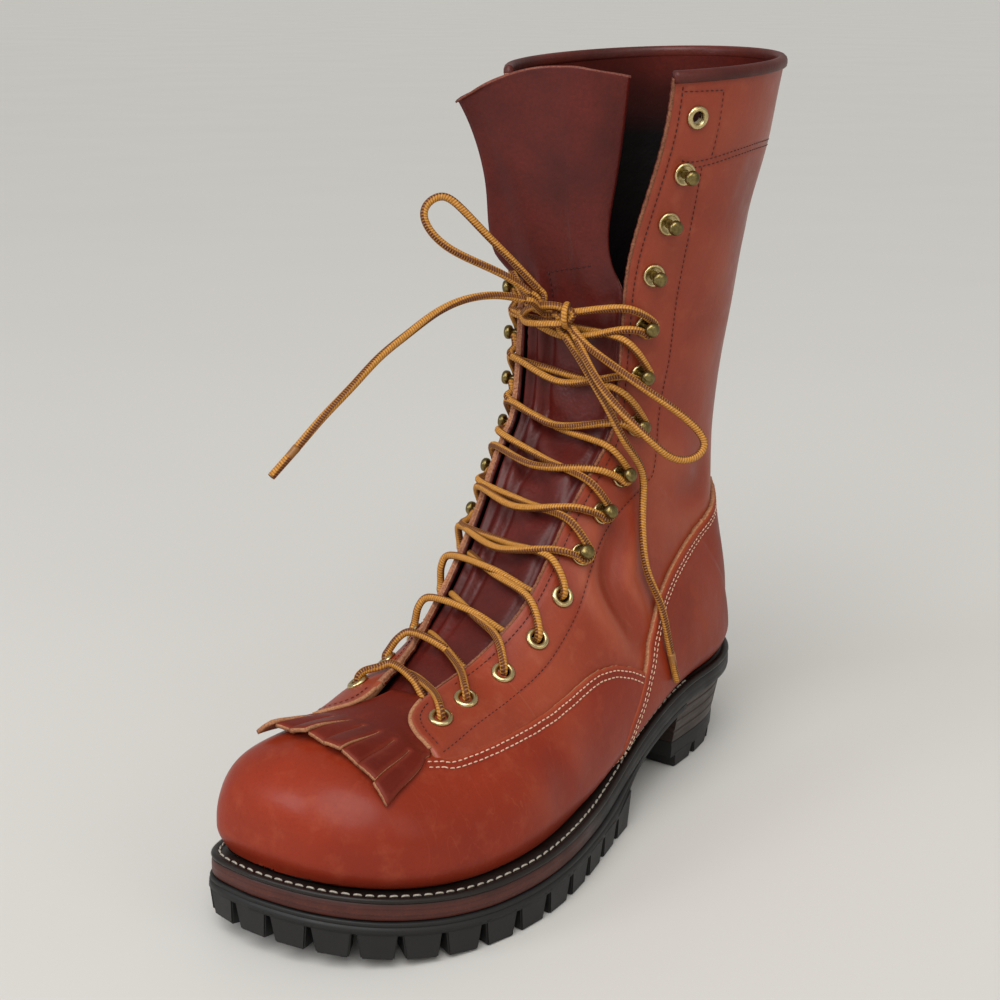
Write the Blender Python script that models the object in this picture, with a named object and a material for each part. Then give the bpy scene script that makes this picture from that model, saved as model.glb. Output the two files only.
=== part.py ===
"""Lineman boot for the left foot: lugged sole, leather heel, tall laced upper.

The toe points to -Y, the lateral side of the foot is +X, the floor is z = 0.
Tables and sizes are in millimetres; the solids are made in metres.
"""
import math

import bmesh
import bpy
import numpy as np
from mathutils import Vector

MM = 0.001
CENTRE_X = 1.585
CENTRE_Y = 8.285

SOLE_LENGTH = 314.0
WELT_TOP_FORE = 26.0
WELT_TOP_HEEL = 47.5
TOE_SPRING = 9.0
SPRING_START = -92.0
RAMP_FRONT = -20.0
RAMP_BACK = 92.0
FEATHER_FORE = 8.0
FEATHER_HEEL = 5.5
WALL = 2.4
GAP = 0.3
WELT_GAP = 0.6
OVERLAY = 1.8
WELT_THICK = 3.2
MIDSOLE_THICK = 6.0
INSOLE_THICK = 3.0
LUG_DEPTH = 11.0
LUG_PITCH = 17.5
LUG_INWARD = 15.0
OUTSOLE_END = 28.0
HEEL_BREAST = 77.0
HEEL_CAP_TOP = 15.0
HEEL_LUG_DEPTH = 7.0
THROAT_ROW = 4.0
HEEL_ROW = 11.0
EDGE_TO_HOOK = 13.0
LACE = 3.4
HOOK_STEM = 1.8

# station, y, lateral x, medial x of the welt's edge
SOLE_ROWS = (
    ("tip", -157.0, -16.0, -16.0),
    ("toe_round", -154.0, 5.0, -37.0),
    ("toe_side", -145.0, 24.5, -47.5),
    ("toe_back", -130.0, 40.0, -53.5),
    ("toe_joint", -108.0, 52.5, -56.0),
    ("ball", -76.0, 61.0, -54.0),
    ("behind_ball", -40.0, 60.0, -47.5),
    ("waist_front", 0.0, 52.0, -38.0),
    ("waist", 40.0, 46.0, -33.5),
    ("heel_front", 80.0, 45.0, -37.0),
    ("heel_wide", 112.0, 44.0, -40.0),
    ("heel_side", 136.0, 35.5, -34.0),
    ("heel_round", 151.0, 19.5, -18.5),
    ("heel_back", 157.0, 0.5, 0.5),
)

# section, base y, base z (0 where it stands on the welt), top y, top z, half width,
# height of the widest point, fullness, ridge x, half gap of the throat at the lateral and at the medial side
UPPER_ROWS = (
    ("toe_tip", -149.0, 0.0, -149.0, 34.0, 0.0, 0.35, 2.0, -16.0, 0.0, 0.0),
    ("toe_front", -146.4, 0.0, -144.5, 56.5, 22.5, 0.35, 2.2, -16.0, 0.0, 0.0),
    ("toe_crown", -139.0, 0.0, -136.0, 68.0, 35.0, 0.33, 2.3, -14.5, 0.0, 0.0),
    ("toe_box", -125.0, 0.0, -121.5, 73.5, 44.5, 0.30, 2.3, -12.0, 0.0, 0.0),
    ("toe_joint", -103.0, 0.0, -95.0, 75.0, 49.0, 0.28, 2.2, -9.0, 8.0, 9.0),
    ("ball", -75.0, 0.0, -67.0, 81.0, 51.0, 0.27, 2.1, -7.5, 10.0, 14.0),
    ("vamp", -44.0, 0.0, -40.0, 93.5, 48.5, 0.27, 2.0, -7.5, 15.0, 19.5),
    ("waist", -8.0, 0.0, -19.5, 111.5, 45.0, 0.27, 1.9, -8.0, 20.0, 24.5),
    ("arch", 35.0, 0.0, -3.0, 132.5, 43.5, 0.28, 1.9, -9.0, 22.0, 26.5),
    ("instep", 80.0, 0.0, 9.0, 154.5, 43.0, 0.30, 1.9, -9.5, 23.5, 27.0),
    ("heel", 122.0, 0.0, 19.5, 175.0, 42.0, 0.33, 2.0, -10.0, 26.0, 27.0),
    ("heel_seat", 151.5, 0.0, 28.0, 194.5, 40.5, 0.36, 2.0, -10.0, 27.0, 27.0),
    ("counter", 145.5, 87.0, 33.5, 214.0, 38.8, 0.42, 2.0, -9.0, 27.0, 27.0),
    ("ankle", 141.5, 132.0, 36.0, 236.0, 38.0, 0.48, 2.0, -7.5, 27.0, 27.0),
    ("shaft_low", 145.0, 177.0, 37.5, 258.0, 41.5, 0.50, 2.0, -6.0, 28.5, 28.5),
    ("shaft_mid", 152.0, 232.0, 37.0, 282.0, 48.0, 0.50, 2.0, -4.0, 34.0, 34.0),
    ("shaft_high", 162.0, 285.5, 35.5, 304.0, 54.5, 0.50, 2.0, -2.0, 39.5, 39.5),
    ("collar", 172.0, 329.0, 33.0, 323.0, 59.0, 0.50, 2.0, 0.0, 42.0, 42.0),
)
SECTION_COLUMNS = ("base_y", "base_z", "top_y", "top_z", "half", "widest", "full", "ridge_x", "lateral_gap",
                   "medial_gap")

# section row, height on the section: upper edge of the vamp
VAMP_EDGE = ((4.05, 0.59), (4.3, 0.56), (4.75, 0.53), (5.45, 0.53), (6.3, 0.53), (7.15, 0.515), (7.6, 0.47),
             (8.0, 0.40), (8.25, 0.305), (9.0, 0.10))
# height on the section, section row: where the vamp ends under the eyestay's front
VAMP_FRONT = ((0.0, 4.05), (0.59, 4.05), (0.75, 4.12), (0.89, 4.3), (0.98, 4.5), (1.06, 4.55))
# height on the section, section row: front edge of the counter
COUNTER_FRONT = ((0.0, 7.45), (0.10, 7.7), (0.17, 7.95), (0.24, 8.3), (0.33, 8.65), (0.40, 8.85), (0.48, 9.3),
                 (0.54, 9.85), (0.60, 11.0))
# section row, height on the section: upper edge of the counter
COUNTER_TOP = ((9.0, 0.60), (10.0, 0.575), (10.6, 0.57), (11.5, 0.53), (12.0, 0.44), (12.5, 0.30), (12.9, 0.13),
               (13.05, 0.0), (14.0, -0.5))

# fitting, lateral row, medial row, kind: one pair each
FITTINGS = (
    ("eyelet_1", 4.70, 5.05, "eyelet"), ("eyelet_2", 5.25, 5.80, "eyelet"), ("eyelet_3", 6.05, 6.68, "eyelet"),
    ("eyelet_4", 6.95, 7.58, "eyelet"), ("eyelet_5", 7.80, 8.35, "eyelet"), ("hook_1", 8.55, 9.15, "hook"),
    ("hook_2", 9.40, 10.05, "hook"), ("hook_3", 10.30, 11.20, "hook"), ("hook_4", 11.55, 12.05, "hook"),
    ("hook_5", 12.42, 12.85, "hook"), ("hook_6", 13.20, 13.60, "hook"), ("hook_7", 14.00, 14.35, "hook"),
    ("hook_8", 14.75, 15.05, "hook"), ("hook_9", 15.45, 15.75, "hook"), ("eyelet_6", 16.30, 16.45, "eyelet"),
)
LACED_TO = 11
# fittings that each half of the lace takes in turn, from side to side
LACE_COURSES = [[(FITTINGS[k][0], start * (-1)**k) for k in range(LACED_TO)] for start in (1, -1)]

# row, section row, lateral half width, medial half width, forward at the lateral edge, at the middle,
# at the medial edge, bulge, rise of the middle, drop of the medial edge
TONGUE_ROWS = (
    ("root", 4.4, 13.0, 13.0, 0.0, 0.0, 0.0, 0.0, 0.0, 0.0),
    ("ball", 5.0, 19.0, 19.0, 0.0, 0.0, 0.0, 0.0, 0.0, 0.0),
    ("vamp", 6.0, 25.0, 25.0, 0.0, 0.0, 0.0, 0.0, 0.0, 0.0),
    ("low_instep", 7.0, 30.0, 30.0, 0.0, 0.0, 0.0, 0.0, 0.0, 0.0),
    ("instep", 8.0, 33.0, 33.0, 0.0, 0.0, 0.0, 0.0, 0.0, 0.0),
    ("high_instep", 9.0, 34.0, 34.0, 0.0, 0.0, 0.0, 0.0, 0.0, 0.0),
    ("bend", 10.0, 36.0, 36.0, 0.0, 0.0, 0.0, 0.0, 0.0, 0.0),
    ("ankle", 11.0, 37.0, 37.0, 0.0, 0.0, 0.0, 0.0, 0.0, 0.0),
    ("under_bow", 12.0, 37.0, 36.0, 0.0, 0.0, 0.0, 0.0, 0.0, 0.0),
    ("bow", 13.0, 31.0, 25.0, 0.0, 0.0, 0.0, 0.0, 0.0, 0.0),
    ("over_bow", 14.0, 18.0, 24.0, 1.0, 4.0, 6.0, 1.0, 0.0, 0.0),
    ("flare_low", 15.0, 18.5, 36.0, 2.0, 10.0, 20.0, 4.0, 0.0, 0.0),
    ("flare", 16.0, 21.0, 42.0, 2.0, 14.0, 30.0, 6.0, 1.5, 2.0),
    ("top", 17.0, 23.5, 45.5, 2.0, 16.0, 37.0, 8.0, 6.5, 10.0),
)


def natural_spline(values, at):
    """Smooth curve through one column of a table, a knot per row."""
    y = np.asarray(values, float)
    n = len(y)
    rows = np.eye(n)
    rhs = np.zeros(n)
    for i in range(1, n - 1):
        rows[i, i - 1:i + 2] = (1.0, 4.0, 1.0)
        rhs[i] = 6.0 * (y[i + 1] - 2.0 * y[i] + y[i - 1])
    bend = np.linalg.solve(rows, rhs)
    at = np.asarray(at, float)
    i = np.clip(np.floor(at).astype(int), 0, n - 2)
    b = at - i
    a = 1.0 - b
    low = (y[i] - bend[i] / 6.0) * a + bend[i] * a**3 / 6.0
    return low + (y[i + 1] - bend[i + 1] / 6.0) * b + bend[i + 1] * b**3 / 6.0


def column(table, index):
    return [row[index] for row in table]


def look_up(table, at):
    return np.interp(at, column(table, 0), column(table, 1))


def smooth_step(low, high, x):
    t = np.clip((np.asarray(x, float) - low) / (high - low), 0.0, 1.0)
    return t * t * (3.0 - 2.0 * t)


def toe_spring(y):
    t = np.clip((SPRING_START - np.asarray(y, float)) / (SOLE_LENGTH / 2.0 + SPRING_START), 0.0, 1.2)
    return TOE_SPRING * t**1.7


def seat(y):
    """Height of the welt's top face."""
    return WELT_TOP_FORE + (WELT_TOP_HEEL - WELT_TOP_FORE) * smooth_step(RAMP_FRONT, RAMP_BACK, y) + toe_spring(y)


def sole_loop(count=181):
    """Welt edge as one loop: tip, lateral side, heel back, medial side."""
    at = np.linspace(0.0, len(SOLE_ROWS) - 1.0, count)
    y = natural_spline(column(SOLE_ROWS, 1), at)
    lateral = np.c_[natural_spline(column(SOLE_ROWS, 2), at), y]
    medial = np.c_[natural_spline(column(SOLE_ROWS, 3), at), y]
    return np.vstack([lateral, medial[-2:0:-1]])


def inset_loop(loop, inset):
    """The loop moved inwards by one size, or by one size per point."""
    along = np.roll(loop, -1, 0) - np.roll(loop, 1, 0)
    outward = np.c_[along[:, 1], -along[:, 0]]
    outward /= np.linalg.norm(outward, axis=1)[:, None]
    return loop - outward * np.broadcast_to(np.asarray(inset, float), len(loop))[:, None]


def loop_sides(loop, y):
    """Lateral and medial x of a loop at the stations y."""
    turned = np.roll(loop, -loop[:, 1].argmin(), 0)
    last = turned[:, 1].argmax()
    lateral = turned[:last + 1]
    medial = np.vstack([turned[last:], turned[:1]])[::-1]
    return np.interp(y, lateral[:, 1], lateral[:, 0]), np.interp(y, medial[:, 1], medial[:, 0])


LOOP = sole_loop()
FEATHER = inset_loop(LOOP, FEATHER_FORE + (FEATHER_HEEL - FEATHER_FORE) * smooth_step(0.0, 90.0, LOOP[:, 1]))
SECTIONS = {name: column(UPPER_ROWS, i + 1) for i, name in enumerate(SECTION_COLUMNS)}
SECTIONS["base_z"] = [z or float(seat(y)) for y, z in zip(SECTIONS["base_y"], SECTIONS["base_z"])]


def section(a, columns, closed=False):
    """Lateral and medial half of the upper's section at row a, from the sole to the throat."""
    g = {name: float(natural_spline(SECTIONS[name], [a])[0]) for name in SECTION_COLUMNS}
    lateral = medial = 0.0
    base_z = g["base_z"]
    if a < HEEL_ROW:
        y = np.clip(g["base_y"], FEATHER[:, 1].min(), FEATHER[:, 1].max())
        lateral, medial = loop_sides(FEATHER, y)
        base_z = float(seat(g["base_y"]))
    base_z += WELT_GAP
    centre = 0.5 * (lateral + medial)
    foot = 0.5 * (lateral - medial)
    half = max(g["half"], 0.0)
    power = 2.0 / g["full"]
    turn = np.linspace(0.0, 0.5 * math.pi, 49)
    upper_rise = g["widest"] + (1.0 - g["widest"]) * np.sin(turn[1:])**power
    rise = np.r_[g["widest"] * (1.0 - np.cos(turn)), upper_rise]
    out = np.r_[foot + (half - foot) * np.sin(turn), half * np.maximum(np.cos(turn[1:]), 0.0)**power]
    middle = centre * (1.0 - rise) + g["ridge_x"] * rise
    y = g["base_y"] + (g["top_y"] - g["base_y"]) * rise
    z = base_z + (g["top_z"] - base_z) * rise
    halves = []
    for sign in (1.0, -1.0):
        p = np.c_[middle + sign * out, y, z]
        run = np.r_[0.0, np.cumsum(np.linalg.norm(np.diff(p, axis=0), axis=1))]
        end = run[-1]
        if a > THROAT_ROW and not closed:
            top = np.argmax(out)
            gap = g["lateral_gap" if sign > 0.0 else "medial_gap"]
            end = np.interp(-gap, -out[top:], run[top:])
        at = np.asarray(columns) * end
        halves.append(np.stack([np.interp(at, run, p[:, c]) for c in range(3)], -1))
    return halves


def surface_point(a, back, side):
    """Point and outward normal on the upper, back millimetres behind the throat edge."""
    def at(row, away):
        fine = np.linspace(0.0, 1.0, 121)
        p = section(row, fine)[0 if side > 0 else 1]
        run = np.r_[0.0, np.cumsum(np.linalg.norm(np.diff(p, axis=0), axis=1))]
        return np.array([np.interp(run[-1] - away, run, p[:, c]) for c in range(3)])
    p = at(a, back)
    n = np.cross(at(a + 0.1, back) - at(a - 0.1, back), at(a, back - 1.0) - at(a, back + 1.0)) * side
    return p, n / np.linalg.norm(n)


class Sheet:
    """Triangles with a normal and a mark (row, height, side) at every point."""

    def __init__(self, points, faces, marks):
        self.points = np.asarray(points, float)
        self.faces = np.asarray(faces, int)
        self.marks = np.asarray(marks, float)
        corner = self.points[self.faces]
        flat = np.cross(corner[:, 1] - corner[:, 0], corner[:, 2] - corner[:, 0])
        self.normals = np.zeros_like(self.points)
        for c in range(3):
            np.add.at(self.normals, self.faces[:, c], flat)
        self.normals /= np.maximum(np.linalg.norm(self.normals, axis=1), 1e-9)[:, None]

    def cut(self, field, snap):
        """The part of the sheet where field(row, height, side) is positive."""
        f = np.array([field(*m) for m in self.marks])
        edges = {tuple(sorted((t[i], t[i - 1]))) for t in self.faces for i in range(3)}
        for i, j in edges:
            if f[i] * f[j] < 0.0:
                share = f[i] / (f[i] - f[j])
                if share < snap:
                    f[i] = 0.0
                elif share > 1.0 - snap:
                    f[j] = 0.0
        points, marks, normals = list(self.points), list(self.marks), list(self.normals)
        made = {}

        def crossing(i, j):
            key = (min(i, j), max(i, j))
            if key not in made:
                t = f[i] / (f[i] - f[j])
                made[key] = len(points)
                points.append(self.points[i] + (self.points[j] - self.points[i]) * t)
                marks.append(self.marks[i] + (self.marks[j] - self.marks[i]) * t)
                n = self.normals[i] + (self.normals[j] - self.normals[i]) * t
                normals.append(n / np.linalg.norm(n))
            return made[key]

        faces = []
        for tri in self.faces:
            if f[tri].max() <= 0.0:
                continue
            ring = []
            for i, j in zip(tri, np.roll(tri, -1)):
                if f[i] >= 0.0:
                    ring.append(int(i))
                if f[i] * f[j] < 0.0:
                    ring.append(crossing(i, j))
            faces += [(ring[0], ring[k], ring[k + 1]) for k in range(1, len(ring) - 1)]
        used = sorted({i for t in faces for i in t})
        place = {old: new for new, old in enumerate(used)}
        piece = Sheet.__new__(Sheet)
        piece.points = np.array([points[i] for i in used])
        piece.marks = np.array([marks[i] for i in used])
        piece.normals = np.array([normals[i] for i in used])
        piece.faces = np.array([[place[i] for i in t] for t in faces])
        return piece

    def shell(self, low, high):
        """Closed solid between two offsets of the sheet."""
        n = len(self.points)
        points = np.vstack([self.points + self.normals * high, self.points + self.normals * low])
        points[:, 2] = np.maximum(points[:, 2], seat(points[:, 1]) + WELT_GAP)
        sides = {}
        for t in self.faces:
            for i in range(3):
                sides[(int(t[i]), int(t[(i + 1) % 3]))] = True
        faces = [tuple(int(i) for i in t) for t in self.faces]
        faces += [(t[2] + n, t[1] + n, t[0] + n) for t in faces]
        for i, j in sides:
            if (j, i) not in sides:
                faces += [(j, i, i + n), (j, i + n, j + n)]
        return points, faces


def upper_sheet(rows, columns):
    """The upper's outside, open at collar, throat and sole, as one sheet."""
    points, marks = [], []
    index = np.zeros((2, len(rows), len(columns)), int)
    for i, a in enumerate(rows):
        halves = section(a, columns)
        for s, side in enumerate((1.0, -1.0)):
            for j, v in enumerate(columns):
                shared = s == 1 and ((j == len(columns) - 1 and a <= THROAT_ROW) or (j == 0 and a >= HEEL_ROW))
                if i == 0 and (s or j):
                    index[s, i, j] = index[0, 0, 0]
                elif shared:
                    index[s, i, j] = index[0, i, j]
                else:
                    index[s, i, j] = len(points)
                    points.append(halves[s][j])
                    marks.append((a, v, side))
    faces = []
    for s in range(2):
        for i in range(len(rows) - 1):
            for j in range(len(columns) - 1):
                p, q = index[s, i, j], index[s, i + 1, j]
                r, t = index[s, i + 1, j + 1], index[s, i, j + 1]
                for tri in ((p, q, r), (p, r, t)):
                    if len(set(tri)) == 3:
                        faces.append(tri if s == 0 else tri[::-1])
    return Sheet(points, faces, marks)


def strip_sheet(rows, skip=()):
    """Sheet through rows of points; cells named in skip stay open."""
    across = len(rows[0])
    points = [p for row in rows for p in row]
    marks = [(i, j, 0.0) for i in range(len(rows)) for j in range(across)]
    faces = []
    for i in range(len(rows) - 1):
        for j in range(across - 1):
            if (i, j) in skip:
                continue
            p, q = i * across + j, (i + 1) * across + j
            faces += [(p, q, q + 1), (p, q + 1, p + 1)]
    return Sheet(points, faces, marks)


def counter_field(a, v, side):
    front = 0.15 * (a - look_up(COUNTER_FRONT, v))
    return min(front, look_up(COUNTER_TOP, a) - v)


def vamp_field(a, v, side):
    over = 0.15 * (look_up(VAMP_FRONT, v) - a)
    under = look_up(VAMP_EDGE, a) - v if a > 4.05 else 1.0 - v + 0.2 * (4.05 - a)
    behind = 0.15 * (look_up(COUNTER_FRONT, v) - 0.06 - a)
    return min(max(over, under), behind)


def strap_field(a, v, side):
    return min(0.15 - v, 0.15 * (a - 15.8))


def material(name, colour, roughness, metallic=0.0):
    made = bpy.data.materials.new(name)
    made.use_nodes = True
    shader = made.node_tree.nodes["Principled BSDF"]
    shader.inputs["Base Color"].default_value = (*colour, 1.0)
    shader.inputs["Roughness"].default_value = roughness
    shader.inputs["Metallic"].default_value = metallic
    return made


def to_frame(points):
    moved = np.asarray(points, float) - (CENTRE_X, CENTRE_Y, 0.0)
    return [Vector(p) for p in moved * MM]


def solid(name, points, faces, look):
    mesh = bpy.data.meshes.new(name)
    mesh.from_pydata(to_frame(points), [], faces)
    work = bmesh.new()
    work.from_mesh(mesh)
    bmesh.ops.remove_doubles(work, verts=work.verts, dist=1e-6)
    bmesh.ops.recalc_face_normals(work, faces=work.faces)
    work.to_mesh(mesh)
    work.free()
    made = bpy.data.objects.new(name, mesh)
    mesh.materials.append(look)
    bpy.context.scene.collection.objects.link(made)
    return made


def ring(inset, height, front, stations):
    """Closed ring of the sole's outline: lateral side to the back, medial side to the front."""
    loop = inset_loop(LOOP, inset)
    low = max(front, loop[:, 1].min() + 0.3) if front is not None else loop[:, 1].min() + 0.3
    back = loop[:, 1].max() - 0.3
    y = low + (back - low) * np.asarray(stations)
    lateral, medial = loop_sides(loop, y)
    z = height(y)
    return np.vstack([np.c_[lateral, y, z], np.c_[medial, y, z][::-1]])


def stack(levels, front=None, stations=None):
    """Solid through levels of (inset, height function), from top to bottom."""
    stations = stations if stations is not None else 0.5 - 0.5 * np.cos(np.linspace(0.0, math.pi, 33))
    rings = [ring(inset, height, front, stations) for inset, height in levels]
    n = len(rings[0])
    half = n // 2
    faces = []
    for k in range(len(rings) - 1):
        for i in range(n):
            j = (i + 1) % n
            faces.append((k * n + i, k * n + j, (k + 1) * n + j, (k + 1) * n + i))
    last = (len(rings) - 1) * n
    for i in range(half - 1):
        faces.append((i, i + 1, n - 2 - i, n - 1 - i))
        faces.append((last + i, last + n - 1 - i, last + n - 2 - i, last + i + 1))
    return np.vstack(rings), faces


def under(depth):
    return lambda y: seat(y) - depth


def block(corners_top, corners_bottom):
    """Eight-cornered lug."""
    points = np.vstack([corners_top, corners_bottom])
    faces = [(0, 1, 2, 3), (7, 6, 5, 4)]
    faces += [(i, (i + 1) % 4, 4 + (i + 1) % 4, 4 + i)[::-1] for i in range(4)]
    return points, faces


def edge_lugs(loop, begin, end, pitch, depth, inward, top, bottom):
    """Lugs along an open stretch of a loop, narrower at the tread than at the root."""
    run = np.r_[0.0, np.cumsum(np.linalg.norm(np.diff(loop, axis=0), axis=1))]
    count = int(round((end - begin) / pitch))
    pitch = (end - begin) / count
    inner = inset_loop(loop, inward)

    def at(path, s):
        return np.array([np.interp(s, run, path[:, 0]), np.interp(s, run, path[:, 1])])
    lugs = []
    for k in range(count):
        s0, s1 = begin + k * pitch, begin + (k + 1) * pitch
        corners = []
        for trim, sink in ((1.0, 0.0), (0.17 * pitch, 1.6)):
            a, b = at(loop, s0 + trim), at(loop, s1 - trim)
            c, d = at(inner, s1 - trim), at(inner, s0 + trim)
            a, b = a + (d - a) / inward * sink, b + (c - b) / inward * sink
            rows = np.array([a, b, c, d])
            z = (top if sink == 0.0 else bottom)(rows[:, 1])
            corners.append(np.c_[rows, z])
        lugs.append(block(*corners))
    return lugs


def join_all(name, body, lugs, look):
    """Body with all lugs joined to it as one solid."""
    made = solid(name, *body, look)
    points, faces = [], []
    for p, f in lugs:
        faces += [tuple(i + len(points) for i in face) for face in f]
        points += list(p)
    tool = solid(name + "_lugs", points, faces, look)
    tool.hide_render = True
    tool.display_type = "WIRE"
    bake_join(made, tool)
    return made


def bake_join(made, tool):
    joint = made.modifiers.new("join", "BOOLEAN")
    joint.operation = "UNION"
    joint.solver = "EXACT"
    joint.object = tool
    bpy.context.view_layer.update()
    result = bpy.data.meshes.new_from_object(made.evaluated_get(bpy.context.evaluated_depsgraph_get()))
    made.modifiers.clear()
    made.data = result
    bpy.data.objects.remove(tool)


def lathe(origin, axis, profile, segments):
    """Closed turned solid; profile is (radius, height) from the axis back to the axis."""
    axis = np.asarray(axis, float)
    side = np.cross(axis, (0.0, 0.0, 1.0))
    side /= np.linalg.norm(side)
    up = np.cross(axis, side)
    points, faces, rings = [], [], []
    for radius, height in profile:
        middle = origin + axis * height
        if radius == 0.0:
            rings.append([len(points)])
            points.append(middle)
            continue
        turn = np.linspace(0.0, 2.0 * math.pi, segments, endpoint=False)
        rings.append(list(range(len(points), len(points) + segments)))
        points += [middle + radius * (math.cos(t) * side + math.sin(t) * up) for t in turn]
    for a, b in zip(rings, rings[1:]):
        for i in range(segments):
            j = (i + 1) % segments
            face = [a[i % len(a)], a[j % len(a)], b[j % len(b)], b[i % len(b)]]
            faces.append(tuple(dict.fromkeys(face)))
    return points, faces


def eyelet(origin, axis, segments=10):
    """Rolled metal ring."""
    profile = ((5.2, 0.0), (4.5, 1.3), (3.2, 1.3), (2.8, 0.0))
    points, faces = [], []
    axis = np.asarray(axis, float)
    side = np.cross(axis, (0.0, 0.0, 1.0))
    side /= np.linalg.norm(side)
    up = np.cross(axis, side)
    for radius, height in profile:
        for k in range(segments):
            t = 2.0 * math.pi * k / segments
            points.append(origin + axis * height + radius * (math.cos(t) * side + math.sin(t) * up))
    for r in range(len(profile)):
        s = (r + 1) % len(profile)
        for i in range(segments):
            j = (i + 1) % segments
            faces.append((r * segments + i, r * segments + j, s * segments + j, s * segments + i))
    return points, faces


def tube(path, radius, sides):
    """Closed round cord along a path of points."""
    path = np.asarray(path, float)
    along = np.gradient(path, axis=0)
    along /= np.linalg.norm(along, axis=1)[:, None]
    normal = np.cross(along[0], (0.3, 0.5, 0.8))
    points, faces = [], []
    for p, d in zip(path, along):
        normal = normal - d * np.dot(normal, d)
        normal /= np.linalg.norm(normal)
        other = np.cross(d, normal)
        for k in range(sides):
            t = 2.0 * math.pi * k / sides
            points.append(p + radius * (math.cos(t) * normal + math.sin(t) * other))
    for i in range(len(path) - 1):
        for k in range(sides):
            m = (k + 1) % sides
            faces.append((i * sides + k, i * sides + m, (i + 1) * sides + m, (i + 1) * sides + k))
    faces.append(tuple(range(sides))[::-1])
    faces.append(tuple((len(path) - 1) * sides + k for k in range(sides)))
    return points, faces


for old in list(bpy.data.objects):
    bpy.data.objects.remove(old)

RUBBER = material("black_rubber", (0.012, 0.012, 0.013), 0.6)
EDGE_LEATHER = material("sole_leather", (0.09, 0.03, 0.018), 0.5)
WELT_LEATHER = material("welt_leather", (0.012, 0.010, 0.009), 0.5)
STACK_LEATHER = material("stacked_leather", (0.035, 0.018, 0.013), 0.5)
RED_LEATHER = material("red_brown_leather", (0.30, 0.055, 0.025), 0.4)
VAMP_LEATHER = material("vamp_leather", (0.29, 0.05, 0.022), 0.4)
COUNTER_LEATHER = material("counter_leather", (0.28, 0.052, 0.026), 0.4)
TONGUE_LEATHER = material("tongue_leather", (0.10, 0.02, 0.018), 0.5)
BINDING_LEATHER = material("binding_leather", (0.09, 0.02, 0.015), 0.5)
KILTIE_LEATHER = material("kiltie_leather", (0.22, 0.04, 0.02), 0.5)
STRAP_LEATHER = material("strap_leather", (0.25, 0.05, 0.025), 0.5)
INSOLE_LEATHER = material("insole_leather", (0.35, 0.22, 0.12), 0.7)
BRASS = material("golden_brass", (0.60, 0.42, 0.16), 0.3, 1.0)
OLD_BRASS = material("antique_brass", (0.36, 0.28, 0.15), 0.35, 1.0)
CORD = material("lace_cord", (0.42, 0.17, 0.03), 0.7)

ROWS = np.r_[0.0, 0.3, 0.65, np.arange(1.0, 7.51, 0.5), 7.83, 8.17, 8.5, 8.83, 9.17, 9.5, 10.0, 10.5, 11.0, 11.5, 12.0,
             12.5, 13.0, 13.75, 14.5, 15.25, 16.0, 17.0]
COLUMNS = np.linspace(0.0, 1.0, 11)
UPPER = upper_sheet(ROWS, COLUMNS)
solid("upper", *UPPER.shell(-WALL, 0.0), RED_LEATHER)

solid("welt", *stack(((0.0, under(0.0)), (0.4, under(WELT_THICK)))), WELT_LEATHER)
MIDSOLE_BOTTOM = WELT_THICK + GAP + MIDSOLE_THICK
solid("midsole", *stack(((0.6, under(WELT_THICK + GAP)), (0.2, under(MIDSOLE_BOTTOM)))), EDGE_LEATHER)
INSOLE_INSET = FEATHER_FORE + WALL + 1.5
solid("insole", *stack(((INSOLE_INSET, under(-GAP - INSOLE_THICK)), (INSOLE_INSET, under(-GAP)))), INSOLE_LEATHER)


def tread_root(y):
    fair = 10.0 * smooth_step(0.0, OUTSOLE_END + 4.0, y)
    return toe_spring(y) + LUG_DEPTH + fair


def outsole_body():
    """Rubber under the forefoot, fading out under the waist."""
    rings = []
    for inset, height in ((-0.6, under(MIDSOLE_BOTTOM + GAP)), (-1.0, tread_root)):
        loop = inset_loop(LOOP, inset)
        low = loop[:, 1].min() + 0.3
        y = low + (OUTSOLE_END - low) * np.linspace(0.0, 1.0, 21)**1.35
        lateral, medial = loop_sides(loop, y)
        rings.append(np.vstack([np.c_[lateral, y, height(y)], np.c_[medial, y, height(y)][::-1]]))
    n = len(rings[0])
    faces = [(i, (i + 1) % n, n + (i + 1) % n, n + i) for i in range(n)]
    for i in range(n // 2 - 1):
        faces.append((i, i + 1, n - 2 - i, n - 1 - i))
        faces.append((n + i, n + n - 1 - i, n + n - 2 - i, n + i + 1))
    return np.vstack(rings), faces


TREAD_LOOP = inset_loop(LOOP, -1.5)
TURNED = np.roll(TREAD_LOOP, len(TREAD_LOOP) // 2, 0)
TURNED_RUN = np.r_[0.0, np.cumsum(np.linalg.norm(np.diff(TURNED, axis=0), axis=1))]
AHEAD = np.where(TURNED[:, 1] < OUTSOLE_END - 8.0)[0]
LUGS = edge_lugs(TURNED, TURNED_RUN[AHEAD[0]], TURNED_RUN[AHEAD[-1]], LUG_PITCH, LUG_DEPTH, LUG_INWARD,
                 lambda y: tread_root(y) + 1.5, toe_spring)
for step in range(7):
    station = -122.0 + 20.0 * step
    left, right = loop_sides(LOOP, station)
    centre = 0.5 * (left + right)
    spread = (left - right) * 0.5 - LUG_INWARD - 5.0
    for offset in (-0.5, 0.5):
        middle = np.array((centre + offset * spread, station + 4.0 * offset))
        reach = np.array((0.36 * spread, 7.0))
        corner = np.array(((1, 1), (-1, 1), (-1, -1), (1, -1)), float)
        top = middle + corner * reach
        low = middle + corner * (reach - 1.2)
        LUGS.append(block(np.c_[top, tread_root(top[:, 1]) + 1.5], np.c_[low, toe_spring(low[:, 1])]))
join_all("outsole", outsole_body(), LUGS, RUBBER)

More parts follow.
